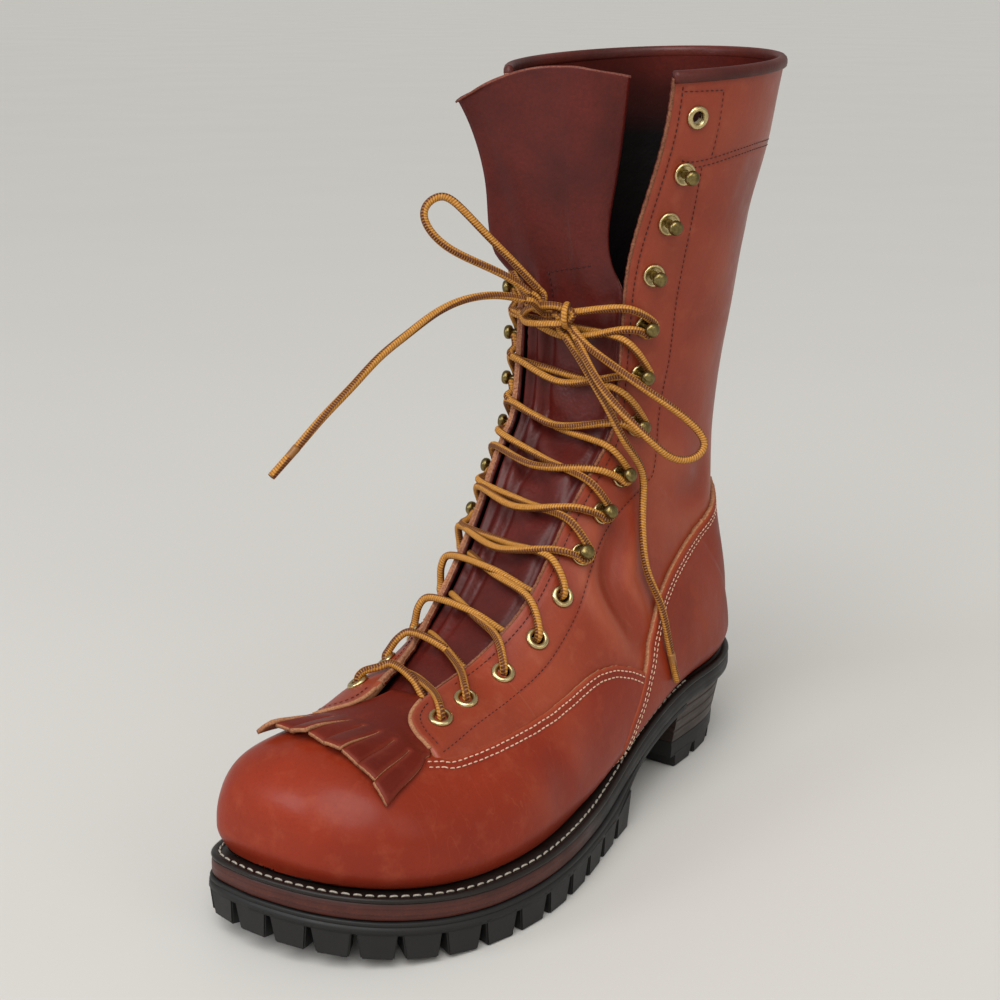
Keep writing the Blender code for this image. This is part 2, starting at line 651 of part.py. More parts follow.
HEEL_STATIONS = np.sin(np.linspace(0.0, 0.5 * math.pi, 15))
LIFT_TOPS = (37.4, 30.2, 22.9)


def level(z):
    return lambda y: np.full_like(np.asarray(y, float), z)


LIFTS = [(3.2, under(MIDSOLE_BOTTOM + GAP))]
for top, inset in zip(LIFT_TOPS[1:], (5.0, 6.2)):
    LIFTS += [(inset - 0.4, level(top + 0.5)), (inset + 0.4, level(top)), (inset - 0.1, level(top - 0.5))]
LIFTS.append((7.4, level(HEEL_CAP_TOP + GAP)))
solid("heel_stack", *stack(LIFTS, HEEL_BREAST, HEEL_STATIONS), STACK_LEATHER)
HEEL_LOOP = inset_loop(LOOP, 7.6)
HEEL_RUN = np.r_[0.0, np.cumsum(np.linalg.norm(np.diff(HEEL_LOOP, axis=0), axis=1))]
BEHIND = np.where(HEEL_LOOP[:, 1] > HEEL_BREAST + 0.8)[0]
HEEL_LUGS = edge_lugs(HEEL_LOOP, HEEL_RUN[BEHIND[0]], HEEL_RUN[BEHIND[-1]], 21.0, HEEL_LUG_DEPTH, 17.0,
                      level(HEEL_LUG_DEPTH + 1.5), level(0.0))
for station in (90.0, 112.0):
    corner = np.array(((12.0, 8.0), (-12.0, 8.0), (-12.0, -8.0), (12.0, -8.0)))
    HEEL_LUGS.append(block(np.c_[corner + (1.5, station), np.full(4, HEEL_LUG_DEPTH + 1.5)],
                           np.c_[0.9 * corner + (1.5, station), np.zeros(4)]))
join_all("heel_cap", stack(((7.6, level(HEEL_CAP_TOP)), (8.0, level(HEEL_LUG_DEPTH))), HEEL_BREAST, HEEL_STATIONS),
         HEEL_LUGS, RUBBER)


def tongue_row(row):
    """Tongue across the throat: tucked under both edges, flat under the lace, flared above the bow."""
    name, a, lateral_half, medial_half, fore_lateral, fore_middle, fore_medial, bulge, crest, drop = row
    edges = []
    for side, half in ((1, lateral_half), (-1, medial_half)):
        p, n = surface_point(min(a, 16.9), 0.3, side)
        edges.append(p - n * (WALL + 1.6))
    middle = 0.5 * (edges[0] + edges[1])
    across = edges[0] - edges[1]
    gap = 0.5 * np.linalg.norm(across)
    across /= 2.0 * gap
    rise = np.array(section(min(a + 0.1, 17.0), (1.0,))).mean(axis=(0, 1))
    rise = rise - np.array(section(min(a + 0.1, 17.0) - 0.2, (1.0,))).mean(axis=(0, 1))
    out = np.cross(rise, across)
    out /= np.linalg.norm(out)
    if out[1] > 0.0:
        out = -out
    points = []
    for t in np.linspace(1.0, -1.0, 11):
        half = lateral_half if t > 0.0 else medial_half
        x = t * half
        tuck = max(abs(x) - gap, 0.0)
        side = 1 if t > 0.0 else -1
        if tuck > 0.0 and fore_medial + fore_middle == 0.0:
            p, n = surface_point(min(a, 16.9), tuck, side)
            points.append(p - n * (WALL + 1.6))
            continue
        fore = fore_middle + (fore_lateral - fore_middle) * max(t, 0.0)**2 + (fore_medial - fore_middle) * max(-t, 0.0)**1.3
        lift = bulge * (1.0 - (x / max(gap, abs(x), 1.0))**2)
        rise_here = crest * (1.0 - t * t) + 0.2 * crest * max(t, 0.0) - drop * max(-t, 0.0)**2
        points.append(middle + across * x + out * lift + np.array((0.0, -fore, rise_here)))
    return points


TONGUE = strip_sheet([tongue_row(r) for r in TONGUE_ROWS])
solid("tongue", *TONGUE.shell(-1.8, 0.0), TONGUE_LEATHER)

solid("vamp", *UPPER.cut(vamp_field, 0.15).shell(GAP, GAP + OVERLAY), VAMP_LEATHER)
solid("counter", *UPPER.cut(counter_field, 0.15).shell(GAP, GAP + OVERLAY), COUNTER_LEATHER)
solid("pull_strap", *UPPER.cut(strap_field, 0.15).shell(GAP, GAP + 2.2), STRAP_LEATHER)


def collar_binding():
    """Rolled edge over the collar's rim."""
    fine = np.linspace(0.0, 1.0, 13)
    lateral, medial = section(17.0, fine)
    rim = np.vstack([lateral[::-1], medial[1:]])
    along = np.gradient(rim, axis=0)
    outward = np.cross(along, (0.0, 0.0, 1.0))
    outward /= np.linalg.norm(outward, axis=1)[:, None]
    centre = rim.mean(axis=0)
    if np.sum((rim - centre) * outward) < 0.0:
        outward = -outward
    profile = ((1.0, 0.0), (0.9, 1.9), (-0.2, 2.9), (-2.2, 2.9), (-3.3, 1.9), (-3.4, 0.0))
    rows = [[p + o * out + np.array((0.0, 0.0, 3.0 * GAP + up)) for out, up in profile] for p, o in zip(rim, outward)]
    n = len(profile)
    points = [q for row in rows for q in row]
    faces = []
    for i in range(len(rows) - 1):
        for k in range(n):
            m = (k + 1) % n
            faces.append((i * n + k, i * n + m, (i + 1) * n + m, (i + 1) * n + k))
    faces.append(tuple(range(n))[::-1])
    faces.append(tuple((len(rows) - 1) * n + k for k in range(n)))
    return points, faces


solid("collar_binding", *collar_binding(), BINDING_LEATHER)

STRIPS = 8
STRIP_WIDTH = 8.6
STRIP_SLOT = 0.8
KILTIE_SHIFT = 0.06
# row, section row at the lateral side, at the medial side, lift off the vamp at the lateral side,
# at the medial side, spread
KILTIE_ROWS = (
    ("root", 4.15, 4.15, 1.8, 1.8, 0.72),
    ("fold", 3.98, 4.02, 1.9, 1.9, 0.78),
    ("slit_end", 3.75, 3.86, 2.2, 2.2, 0.85),
    ("fringe_middle", 3.3, 3.48, 2.6, 2.8, 0.94),
    ("fringe_tip", 2.82, 3.06, 3.0, 3.4, 1.0),
)


def kiltie_row(row):
    """Points across the fringed flap, two per strip."""
    name, row_lateral, row_medial, lift_lateral, lift_medial, spread = row
    fine = np.linspace(0.0, 1.0, 81)
    total = STRIPS * (STRIP_WIDTH + STRIP_SLOT)

    def on_arch(a, away):
        lateral, medial = section(a, fine, closed=True)
        arch = np.vstack([lateral, medial[-2::-1]])
        run = np.r_[0.0, np.cumsum(np.linalg.norm(np.diff(arch, axis=0), axis=1))]
        at = run[len(lateral) - 1] + away
        return np.array([np.interp(at, run, arch[:, c]) for c in range(3)])
    points = []
    for k in range(STRIPS):
        for edge in (0.0, STRIP_WIDTH):
            share = (k * (STRIP_WIDTH + STRIP_SLOT) + edge) / total
            away = (share - 0.5 - KILTIE_SHIFT) * total * spread
            a = row_lateral + (row_medial - row_lateral) * share
            p = on_arch(a, away)
            n = np.cross(on_arch(a - 0.1, away) - on_arch(a + 0.1, away), on_arch(a, away + 1.0) - p)
            n /= np.linalg.norm(n)
            n = n if n[2] > 0.0 else -n
            points.append(p + n * (GAP + OVERLAY + lift_lateral + (lift_medial - lift_lateral) * share))
    return points


SLOTS = [(i, 2 * k + 1) for i in (2, 3) for k in range(STRIPS - 1)]
KILTIE = strip_sheet([kiltie_row(r) for r in KILTIE_ROWS], SLOTS)
solid("kiltie", *KILTIE.shell(-1.4, 0.0), KILTIE_LEATHER)

HOOK_PROFILE = ((0.0, 0.0), (4.6, 0.0), (HOOK_STEM, 1.1), (HOOK_STEM, 6.0), (3.4, 6.6), (2.8, 9.0), (0.0, 9.4))
PLACES = {}
for name, lateral_row, medial_row, kind in FITTINGS:
    for side, word, row in ((1, "lateral", lateral_row), (-1, "medial", medial_row)):
        p, n = surface_point(row, EDGE_TO_HOOK, side)
        PLACES[name, side] = (p, n, row, kind)
        origin = p + n * 0.7
        if kind == "eyelet":
            solid(word + "_" + name, *eyelet(origin, n), BRASS)
        else:
            solid(word + "_" + name, *lathe(origin, n, HOOK_PROFILE, 7), OLD_BRASS)

LACE_RADIUS = 0.5 * LACE
KNOT = (-10.0, 43.0, 221.5)
KNOT_LENGTH = 18.0
KNOT_RADIUS = 4.6
# x, y, z along each free part of the lace, from the knot outwards
FREE_LACE = {
    "bow_loop_medial": (
        (-18.0, 37.0, 231.0), (-25.0, 29.5, 238.5), (-34.0, 19.0, 245.5), (-42.5, 8.5, 253.0), (-48.5, 3.0, 262.0),
        (-49.5, 3.5, 270.0), (-45.0, 9.0, 274.0), (-38.5, 14.0, 269.0), (-31.0, 22.0, 257.5), (-23.5, 31.0, 245.5),
        (-16.0, 40.5, 232.5)),
    "bow_loop_lateral": (
        (-1.0, 43.5, 217.5), (7.5, 43.0, 210.0), (20.5, 44.5, 202.0), (35.5, 47.0, 193.0), (46.5, 52.0, 185.0),
        (54.5, 58.5, 176.0), (57.5, 61.0, 168.0), (55.0, 55.5, 163.0), (49.5, 47.0, 164.5), (43.5, 40.0, 172.0),
        (35.0, 36.5, 180.5), (24.5, 36.0, 189.5), (13.5, 38.5, 200.0), (3.0, 42.5, 212.0)),
    "lace_end_medial": (
        (-16.5, 30.5, 229.0), (-22.5, 20.0, 232.0), (-29.0, 5.5, 232.0), (-34.0, -10.0, 228.0), (-37.5, -25.5, 221.0),
        (-41.5, -40.0, 213.0), (-45.0, -53.5, 203.0), (-48.5, -67.5, 193.0), (-51.5, -81.0, 182.5),
        (-55.0, -94.0, 172.0)),
    "lace_end_lateral": (
        (-4.0, 43.0, 213.0), (4.5, 43.0, 203.0), (13.0, 42.0, 192.5), (20.5, 42.5, 181.5), (27.5, 44.5, 168.5),
        (31.5, 52.5, 154.5), (32.5, 52.5, 139.5), (35.5, 48.0, 125.5), (39.5, 46.0, 110.5), (45.0, 49.0, 95.0),
        (48.5, 51.0, 77.5), (49.5, 58.0, 56.5)),
}


def edge_rows(here, there):
    """Rows where the lace passes the throat's two edges between two fittings."""
    row, above = PLACES[here][2], PLACES[there][2]
    if PLACES[here][3] == "eyelet" or here[1] < 0:
        return row + 0.25, above - 0.25
    return row + 0.45, above - 0.6


def over_edge(row, side):
    """Point just inside a throat edge, clear above it."""
    q, m = surface_point(row, 0.5, side)
    over = q - surface_point(row, 1.5, side)[0]
    return q + 2.0 * over / np.linalg.norm(over) + m * (LACE_RADIUS + 1.3)


def lace_path(course):
    """One half of the lace from its first eyelet up to the bow."""
    path = []
    for k, here in enumerate(course):
        p, n, row, kind = PLACES[here]
        side = here[1]
        inward = surface_point(row, EDGE_TO_HOOK - 3.0, side)[0] - p
        inward /= np.linalg.norm(inward)
        climb = np.cross(n, inward)
        climb = climb if climb[2] > 0.0 else -climb
        lift = n * (0.7 + LACE_RADIUS + (1.4 if kind == "eyelet" else 1.1) + 0.45)
        swing = (HOOK_STEM + LACE_RADIUS + 0.6) / math.cos(math.radians(40.0))
        for turn in np.radians((-80.0, 0.0, 80.0)):
            path.append(p + lift + swing * (math.sin(turn) * climb - math.cos(turn) * inward))
        if k + 1 < len(course):
            low, high = edge_rows(here, course[k + 1])
            path += [over_edge(low, side), over_edge(high, -side)]
    path.append(over_edge(row + 0.1, side))
    path.append(np.array(KNOT) + (side * (KNOT_LENGTH / 2.0 + 1.0), 2.5, 2.0))
    return path


LACE_A = solid("lace_crossings", *tube(lace_path(LACE_COURSES[0]), LACE_RADIUS, 5), CORD)
LACE_B = solid("lace_second", *tube(lace_path(LACE_COURSES[1]), LACE_RADIUS, 5), CORD)
bake_join(LACE_A, LACE_B)

HALF = 0.5 * KNOT_LENGTH
KNOT_PROFILE = ((0.0, -HALF), (0.7 * KNOT_RADIUS, -0.72 * HALF), (KNOT_RADIUS, 0.0), (0.7 * KNOT_RADIUS, 0.72 * HALF),
                (0.0, HALF))
solid("bow_knot", *lathe(np.array(KNOT), (1.0, 0.0, 0.0), KNOT_PROFILE, 8), CORD)


def cord(name, points):
    """Round lace along a smooth curve through hand-set points."""
    points = np.asarray(points)
    fine = np.linspace(0.0, len(points) - 1.0, 40 * len(points))
    path = np.stack([natural_spline(points[:, c], fine) for c in range(3)], -1)
    run = np.r_[0.0, np.cumsum(np.linalg.norm(np.diff(path, axis=0), axis=1))]
    count = int(run[-1] / (2.3 * LACE)) + 1
    at = np.linspace(0.0, run[-1], count)
    places = to_frame(np.stack([np.interp(at, run, path[:, c]) for c in range(3)], -1))
    curve = bpy.data.curves.new(name, "CURVE")
    curve.dimensions = "3D"
    curve.bevel_depth = LACE_RADIUS * MM
    curve.bevel_resolution = 2
    curve.use_fill_caps = True
    spline = curve.splines.new("POLY")
    spline.points.add(count - 1)
    for point, place in zip(spline.points, places):
        point.co = (*place, 1.0)
    curve.materials.append(CORD)
    bpy.context.scene.collection.objects.link(bpy.data.objects.new(name, curve))


for name, points in FREE_LACE.items():
    cord(name, points)
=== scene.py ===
"""Looks of a lineman boot for the left foot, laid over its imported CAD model.

Tables and sizes are in millimetres, in the frame of the CAD tables: toe to -Y, outer side of the foot to +X.
Pieces are made in metres.
"""
import math

import bmesh
import bpy
import numpy as np
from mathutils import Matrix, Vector, kdtree


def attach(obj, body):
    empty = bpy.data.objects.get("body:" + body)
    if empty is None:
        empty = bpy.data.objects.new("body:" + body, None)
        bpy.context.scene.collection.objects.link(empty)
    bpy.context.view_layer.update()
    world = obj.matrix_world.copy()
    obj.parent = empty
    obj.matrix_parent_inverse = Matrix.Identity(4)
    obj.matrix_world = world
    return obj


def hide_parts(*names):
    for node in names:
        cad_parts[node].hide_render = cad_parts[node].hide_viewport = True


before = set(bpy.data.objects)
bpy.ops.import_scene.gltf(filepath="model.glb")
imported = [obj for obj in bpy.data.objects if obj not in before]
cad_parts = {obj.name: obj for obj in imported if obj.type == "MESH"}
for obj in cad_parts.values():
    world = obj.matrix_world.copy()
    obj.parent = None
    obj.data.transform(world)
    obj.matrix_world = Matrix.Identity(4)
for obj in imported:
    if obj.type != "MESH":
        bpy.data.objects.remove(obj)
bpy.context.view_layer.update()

MM = 0.001
CENTRE = np.array((1.585, 8.285, 0.0))

# sole: length, height of the welt's top, rise of the toe, ramp up to the heel, inset of the upper's foot
SOLE_LENGTH = 314.0
WELT_TOP_FORE = 26.0
WELT_TOP_HEEL = 47.5
TOE_SPRING = 9.0
SPRING_START = -92.0
RAMP_FRONT = -20.0
RAMP_BACK = 92.0
FEATHER_FORE = 8.0
FEATHER_HEEL = 5.5
# layers of the sole
WELT_EDGE = 2.2
WELT_THICK = 3.2
MIDSOLE_THICK = 6.0
OUTSOLE_END = 28.0
LUG_DEPTH = 11.0
LUG_PITCH = 17.5
LUG_INWARD = 15.0
LUG_ROOT = 1.5
LUG_ROUND = 0.6
HEEL_BREAST = 77.0
HEEL_CAP_TOP = 15.0
HEEL_LUG_DEPTH = 7.0
# leather of the upper, and spaces between layers
HEIGHT = 333.0
WALL = 2.4
OVERLAY = 1.8
GAP = 0.3
WELT_GAP = 0.6
WELT_TURN = 2.4
UNDER_PANEL = 0.05
TONGUE_UNDER = WALL + 1.6
# rows of the section table: where the throat opens, from where the halves meet at the back, the collar
THROAT_ROW = 4.0
HEEL_ROW = 11.0
COLLAR_ROW = 17.0
# fittings and lace
EDGE_TO_HOOK = 13.0
HOOK_STEM = 1.8
LACE = 3.4
LACE_RADIUS = 0.5 * LACE
TIP_LENGTH = 17
KNOT = np.array((-10.0, 43.0, 221.5))
# a distance past which seams and edges leave no mark on the leather
FAR = 60.0

# stitch length, space between stitches, thickness of the thread
VAMP_STITCH = (1.95, 0.8, 0.66)
COUNTER_STITCH = (1.8, 0.75, 0.55)
THROAT_STITCH = (1.7, 0.8, 0.45)
FACING_STITCH = (1.5, 0.9, 0.36)
BAND_STITCH = (1.6, 0.8, 0.45)
CORNER_STITCH = (1.6, 0.9, 0.42)
TONGUE_STITCH = (1.5, 0.9, 0.6)
WELT_STITCH = (3.4, 1.2, 0.95)
# distance of each row of stitches from its edge
VAMP_SEAMS = (2.1, 4.9)
COUNTER_SEAMS = (3.4, 5.5)
BAND_SEAMS = (0.0, 2.6)
THROAT_SEAM = 4.2
TAB_SEAM = 4.0
WELT_SEAM = 3.4

# station, y, lateral x, medial x of the welt's edge
SOLE_ROWS = (
    ("tip", -157.0, -16.0, -16.0),
    ("toe_round", -154.0, 5.0, -37.0),
    ("toe_side", -145.0, 24.5, -47.5),
    ("toe_back", -130.0, 40.0, -53.5),
    ("toe_joint", -108.0, 52.5, -56.0),
    ("ball", -76.0, 61.0, -54.0),
    ("behind_ball", -40.0, 60.0, -47.5),
    ("waist_front", 0.0, 52.0, -38.0),
    ("waist", 40.0, 46.0, -33.5),
    ("heel_front", 80.0, 45.0, -37.0),
    ("heel_wide", 112.0, 44.0, -40.0),
    ("heel_side", 136.0, 35.5, -34.0),
    ("heel_round", 151.0, 19.5, -18.5),
    ("heel_back", 157.0, 0.5, 0.5),
)

# section, base y, base z (0 where it stands on the welt), top y, top z, half width,
# height of the widest point, fullness, ridge x, half gap of the throat at the lateral and at the medial side
UPPER_ROWS = (
    ("toe_tip", -149.0, 0.0, -149.0, 34.0, 0.0, 0.35, 2.0, -16.0, 0.0, 0.0),
    ("toe_front", -146.4, 0.0, -144.5, 56.5, 22.5, 0.35, 2.2, -16.0, 0.0, 0.0),
    ("toe_crown", -139.0, 0.0, -136.0, 68.0, 35.0, 0.33, 2.3, -14.5, 0.0, 0.0),
    ("toe_box", -125.0, 0.0, -121.5, 73.5, 44.5, 0.30, 2.3, -12.0, 0.0, 0.0),
    ("toe_joint", -103.0, 0.0, -95.0, 75.0, 49.0, 0.28, 2.2, -9.0, 8.0, 9.0),
    ("ball", -75.0, 0.0, -67.0, 81.0, 51.0, 0.27, 2.1, -7.5, 10.0, 14.0),
    ("vamp", -44.0, 0.0, -40.0, 93.5, 48.5, 0.27, 2.0, -7.5, 15.0, 19.5),
    ("waist", -8.0, 0.0, -19.5, 111.5, 45.0, 0.27, 1.9, -8.0, 20.0, 24.5),
    ("arch", 35.0, 0.0, -3.0, 132.5, 43.5, 0.28, 1.9, -9.0, 22.0, 26.5),
    ("instep", 80.0, 0.0, 9.0, 154.5, 43.0, 0.30, 1.9, -9.5, 23.5, 27.0),
    ("heel", 122.0, 0.0, 19.5, 175.0, 42.0, 0.33, 2.0, -10.0, 26.0, 27.0),
    ("heel_seat", 151.5, 0.0, 28.0, 194.5, 40.5, 0.36, 2.0, -10.0, 27.0, 27.0),
    ("counter", 145.5, 87.0, 33.5, 214.0, 38.8, 0.42, 2.0, -9.0, 27.0, 27.0),
    ("ankle", 141.5, 132.0, 36.0, 236.0, 38.0, 0.48, 2.0, -7.5, 27.0, 27.0),
    ("shaft_low", 145.0, 177.0, 37.5, 258.0, 41.5, 0.50, 2.0, -6.0, 28.5, 28.5),
    ("shaft_mid", 152.0, 232.0, 37.0, 282.0, 48.0, 0.50, 2.0, -4.0, 34.0, 34.0),
    ("shaft_high", 162.0, 285.5, 35.5, 304.0, 54.5, 0.50, 2.0, -2.0, 39.5, 39.5),
    ("collar", 172.0, 329.0, 33.0, 323.0, 59.0, 0.50, 2.0, 0.0, 42.0, 42.0),
)
SECTION_COLUMNS = ("base_y", "base_z", "top_y", "top_z", "half", "widest", "full", "ridge_x", "lateral_gap",
                   "medial_gap")

# y, z in the side view: upper edge of the vamp, from the eyestay's front to under the counter
VAMP_EDGE = ((-102.0, 68.4), (-94.6, 67.6), (-86.5, 67.2), (-75.1, 67.7), (-63.4, 68.7), (-50.3, 69.9),
             (-35.6, 71.6), (-19.4, 74.2), (-9.1, 76.3), (-2.7, 77.4), (4.5, 77.8), (11.6, 77.0),
             (19.4, 75.0), (26.9, 71.7), (34.8, 67.0), (44.0, 60.0), (56.0, 50.0))
# y, z in the side view: edge of the counter, from the sole to the back seam
COUNTER_EDGE = ((2.0, 28.0), (14.0, 42.0), (21.9, 51.2), (28.6, 59.4), (34.4, 68.6), (39.6, 77.6),
                (45.4, 86.0), (51.8, 93.2), (59.4, 99.3), (68.6, 105.2), (79.8, 110.9), (91.0, 115.9),
                (101.0, 120.2), (110.0, 124.6), (120.0, 129.0), (131.0, 132.0), (144.0, 133.2),
                (160.0, 133.4))
# row, height on the section: outline of the eyestay's front, from the throat round to the vamp's edge
TAB_EDGE = ((6.2, 1.096), (5.6, 1.063), (5.25, 1.033), (4.98, 1.011), (4.76, 0.999), (4.56, 0.979),
            (4.40, 0.945), (4.28, 0.889), (4.20, 0.821), (4.15, 0.740), (4.12, 0.666), (4.10, 0.592),
            (4.09, 0.507))
TAB_HEIGHT = 3.2
# section row, height on the section: dark stitching that holds the facing
FACING_SEAM = ((4.25, 0.675), (4.65, 0.69), (5.05, 0.70), (5.5, 0.71), (6.0, 0.72), (6.5, 0.728),
               (7.0, 0.745), (7.45, 0.76), (7.9, 0.775), (8.3, 0.808), (8.65, 0.825), (9.35, 0.838),
               (10.4, 0.828), (11.75, 0.82), (12.75, 0.78), (13.45, 0.77), (14.2, 0.79), (15.05, 0.82),
               (15.6, 0.845))
# section row, height on the section: dark stitching under the top band
BAND_SEAM = ((15.62, 0.93), (15.65, 0.87), (15.85, 0.74), (16.0, 0.60), (16.08, 0.45), (16.12, 0.25),
             (16.12, 0.13))

# fitting, lateral row, medial row, kind: one pair each
FITTINGS = (
    ("eyelet_1", 4.70, 5.05, "eyelet"),
    ("eyelet_2", 5.25, 5.80, "eyelet"),
    ("eyelet_3", 6.05, 6.68, "eyelet"),
    ("eyelet_4", 6.95, 7.58, "eyelet"),
    ("eyelet_5", 7.80, 8.35, "eyelet"),
    ("hook_1", 8.55, 9.15, "hook"),
    ("hook_2", 9.40, 10.05, "hook"),
    ("hook_3", 10.30, 11.20, "hook"),
    ("hook_4", 11.55, 12.05, "hook"),
    ("hook_5", 12.42, 12.85, "hook"),
    ("hook_6", 13.20, 13.60, "hook"),
    ("hook_7", 14.00, 14.35, "hook"),
    ("hook_8", 14.75, 15.05, "hook"),
    ("hook_9", 15.45, 15.75, "hook"),
    ("eyelet_6", 16.30, 16.45, "eyelet"),
)
LACED_TO = 11
# fittings that each half of the lace takes in turn, from side to side
LACE_COURSES = [[(FITTINGS[k][0], start * (-1)**k) for k in range(LACED_TO)] for start in (1, -1)]

# row, section row, lateral half width, medial half width, forward at the lateral edge, at the middle,
# at the medial edge, bulge, rise of the middle, drop of the medial edge
TONGUE_ROWS = (
    ("root", 4.4, 13.0, 13.0, 0.0, 0.0, 0.0, 0.0, 0.0, 0.0),
    ("ball", 5.0, 19.0, 19.0, 0.0, 0.0, 0.0, 0.0, 0.0, 0.0),
    ("vamp", 6.0, 25.0, 25.0, 0.0, 0.0, 0.0, 0.0, 0.0, 0.0),
    ("low_instep", 7.0, 30.0, 30.0, 0.0, 0.0, 0.0, 0.0, 0.0, 0.0),
    ("instep", 8.0, 33.0, 33.0, 0.0, 0.0, 0.0, 0.0, 0.0, 0.0),
    ("high_instep", 9.0, 34.0, 34.0, 0.0, 0.0, 0.0, 0.0, 0.0, 0.0),
    ("bend", 10.0, 36.0, 36.0, 0.0, 0.0, 0.0, 0.0, 0.0, 0.0),
    ("ankle", 11.0, 37.0, 37.0, 0.0, 0.0, 0.0, 0.0, 0.0, 0.0),
    ("under_bow", 12.0, 37.0, 36.0, 0.0, 0.0, 0.0, 0.0, 0.0, 0.0),
    ("bow", 13.0, 31.0, 28.0, 0.0, 0.5, 4.0, 0.0, 0.0, 0.0),
    ("over_bow", 14.0, 18.0, 36.0, 1.0, 4.0, 14.5, 1.0, 0.0, 0.0),
    ("flare_low", 15.0, 18.5, 38.5, 2.0, 10.0, 21.5, 4.0, 0.0, 0.0),
    ("flare", 16.0, 21.0, 42.0, 2.0, 14.0, 30.0, 6.0, 1.5, 2.0),
    ("top", 17.0, 23.5, 45.5, 2.0, 16.0, 37.0, 8.0, 6.5, 10.0),
)

STRIPS = 8
STRIP_WIDTH = 8.6
STRIP_SLOT = 0.35
KILTIE_THICK = 2.0
KILTIE_SHIFT = 0.06
# row, section row at the lateral side, at the medial side, height over the upper at the lateral side,
# at the medial side, spread
KILTIE_ROWS = (
    ("throat", 5.05, 5.05, -1.6, -1.6, 0.34),
    ("between_tabs", 4.52, 4.52, 1.5, 1.5, 0.46),
    ("root", 4.15, 4.15, 2.9, 2.9, 0.76),
    ("fold", 3.98, 4.02, 3.5, 3.5, 0.81),
    ("slit_end", 3.75, 3.86, 4.5, 4.5, 0.88),
    ("fringe_middle", 3.3, 3.48, 5.0, 5.3, 0.96),
    ("fringe_tip", 2.82, 3.06, 5.4, 6.0, 1.02),
)
# strip, extra lift of its tip, roll across, shortening in section rows
STRIP_LIE = (
    ("outer", 0.9, 0.9, 0.00),
    ("second", 1.7, -0.7, 0.03),
    ("third", 0.5, 0.9, 0.07),
    ("fourth", 2.0, -0.6, 0.04),
    ("fifth", 0.7, 1.2, 0.11),
    ("sixth", 2.6, -1.1, 0.06),
    ("seventh", 1.0, 1.2, 0.16),
    ("inner", 2.6, -1.4, 0.10),
)

# crease, side, path in the side view (y, z), half width, depth: soft troughs of the leather
CREASES = (
    ("ankle_front", 1,
     ((46.0, 140.0), (35.0, 126.0), (27.5, 114.0), (27.0, 103.5), (31.5, 92.5), (36.5, 82.0)), 6.0, 2.9),
    ("ankle_back", 1, ((97.0, 158.0), (101.0, 146.0), (96.0, 138.5), (80.0, 137.0)), 8.0, 1.7),
    ("shaft_dent", 1, ((66.0, 196.0), (82.0, 180.0), (100.0, 170.0)), 12.0, 1.0),
    ("band_dent", 1, ((96.0, 276.0), (116.0, 268.0), (132.0, 254.0)), 18.0, 1.3),
    ("vamp_bend", 1, ((-50.0, 62.0), (-44.0, 49.0), (-40.0, 36.0)), 8.0, 0.7),
    ("ankle_front", -1,
     ((46.0, 140.0), (36.0, 126.0), (30.0, 114.0), (30.0, 103.5), (35.0, 92.5), (41.0, 82.0)), 6.5, 2.0),
    ("ankle_back", -1, ((97.0, 160.0), (101.0, 148.0), (97.0, 140.0), (82.0, 138.0)), 8.0, 1.7),
    ("shaft_dent", -1, ((70.0, 200.0), (86.0, 186.0), (102.0, 172.0)), 12.0, 1.0),
    ("vamp_bend", -1, ((-56.0, 60.0), (-50.0, 48.0), (-46.0, 38.0)), 8.0, 0.8),
)

# x, y, z along each free part of the lace, from the knot outwards
FREE_LACE = {
    "bow_loop_medial": (
        (-18.0, 37.0, 231.0), (-25.0, 29.5, 238.5), (-34.0, 19.0, 245.5), (-42.5, 8.5, 253.0),
        (-48.5, 3.0, 262.0), (-49.5, 3.5, 270.0), (-45.0, 9.0, 274.0), (-38.5, 14.0, 269.0),
        (-31.0, 22.0, 257.5), (-23.5, 31.0, 245.5), (-16.0, 40.5, 232.5)),
    "bow_loop_lateral": (
        (-1.0, 43.5, 217.5), (7.5, 43.0, 210.0), (20.5, 44.5, 202.0), (35.5, 47.0, 193.0),
        (46.5, 52.0, 185.0), (54.5, 58.5, 176.0), (57.5, 61.0, 168.0), (55.0, 55.5, 163.0),
        (49.5, 47.0, 164.5), (43.5, 40.0, 172.0), (35.0, 36.5, 180.5), (24.5, 36.0, 189.5),
        (13.5, 38.5, 200.0), (3.0, 42.5, 212.0)),
    "lace_end_medial": (
        (-16.5, 30.5, 229.0), (-22.5, 20.0, 232.0), (-29.0, 5.5, 232.0), (-34.0, -10.0, 228.0),
        (-37.5, -25.5, 221.0), (-41.5, -40.0, 213.0), (-45.0, -53.5, 203.0), (-48.5, -67.5, 193.0),
        (-51.5, -81.0, 182.5), (-55.0, -94.0, 172.0)),
    "lace_end_lateral": (
        (-4.0, 43.0, 213.0), (4.5, 43.0, 203.0), (13.0, 42.0, 192.5), (20.5, 42.5, 181.5),
        (27.5, 44.5, 168.5), (31.5, 52.5, 154.5), (32.5, 52.5, 139.5), (35.5, 48.0, 125.5),
        (39.5, 46.0, 110.5), (45.0, 49.0, 95.0), (48.5, 51.0, 77.5), (49.5, 58.0, 56.5)),
}


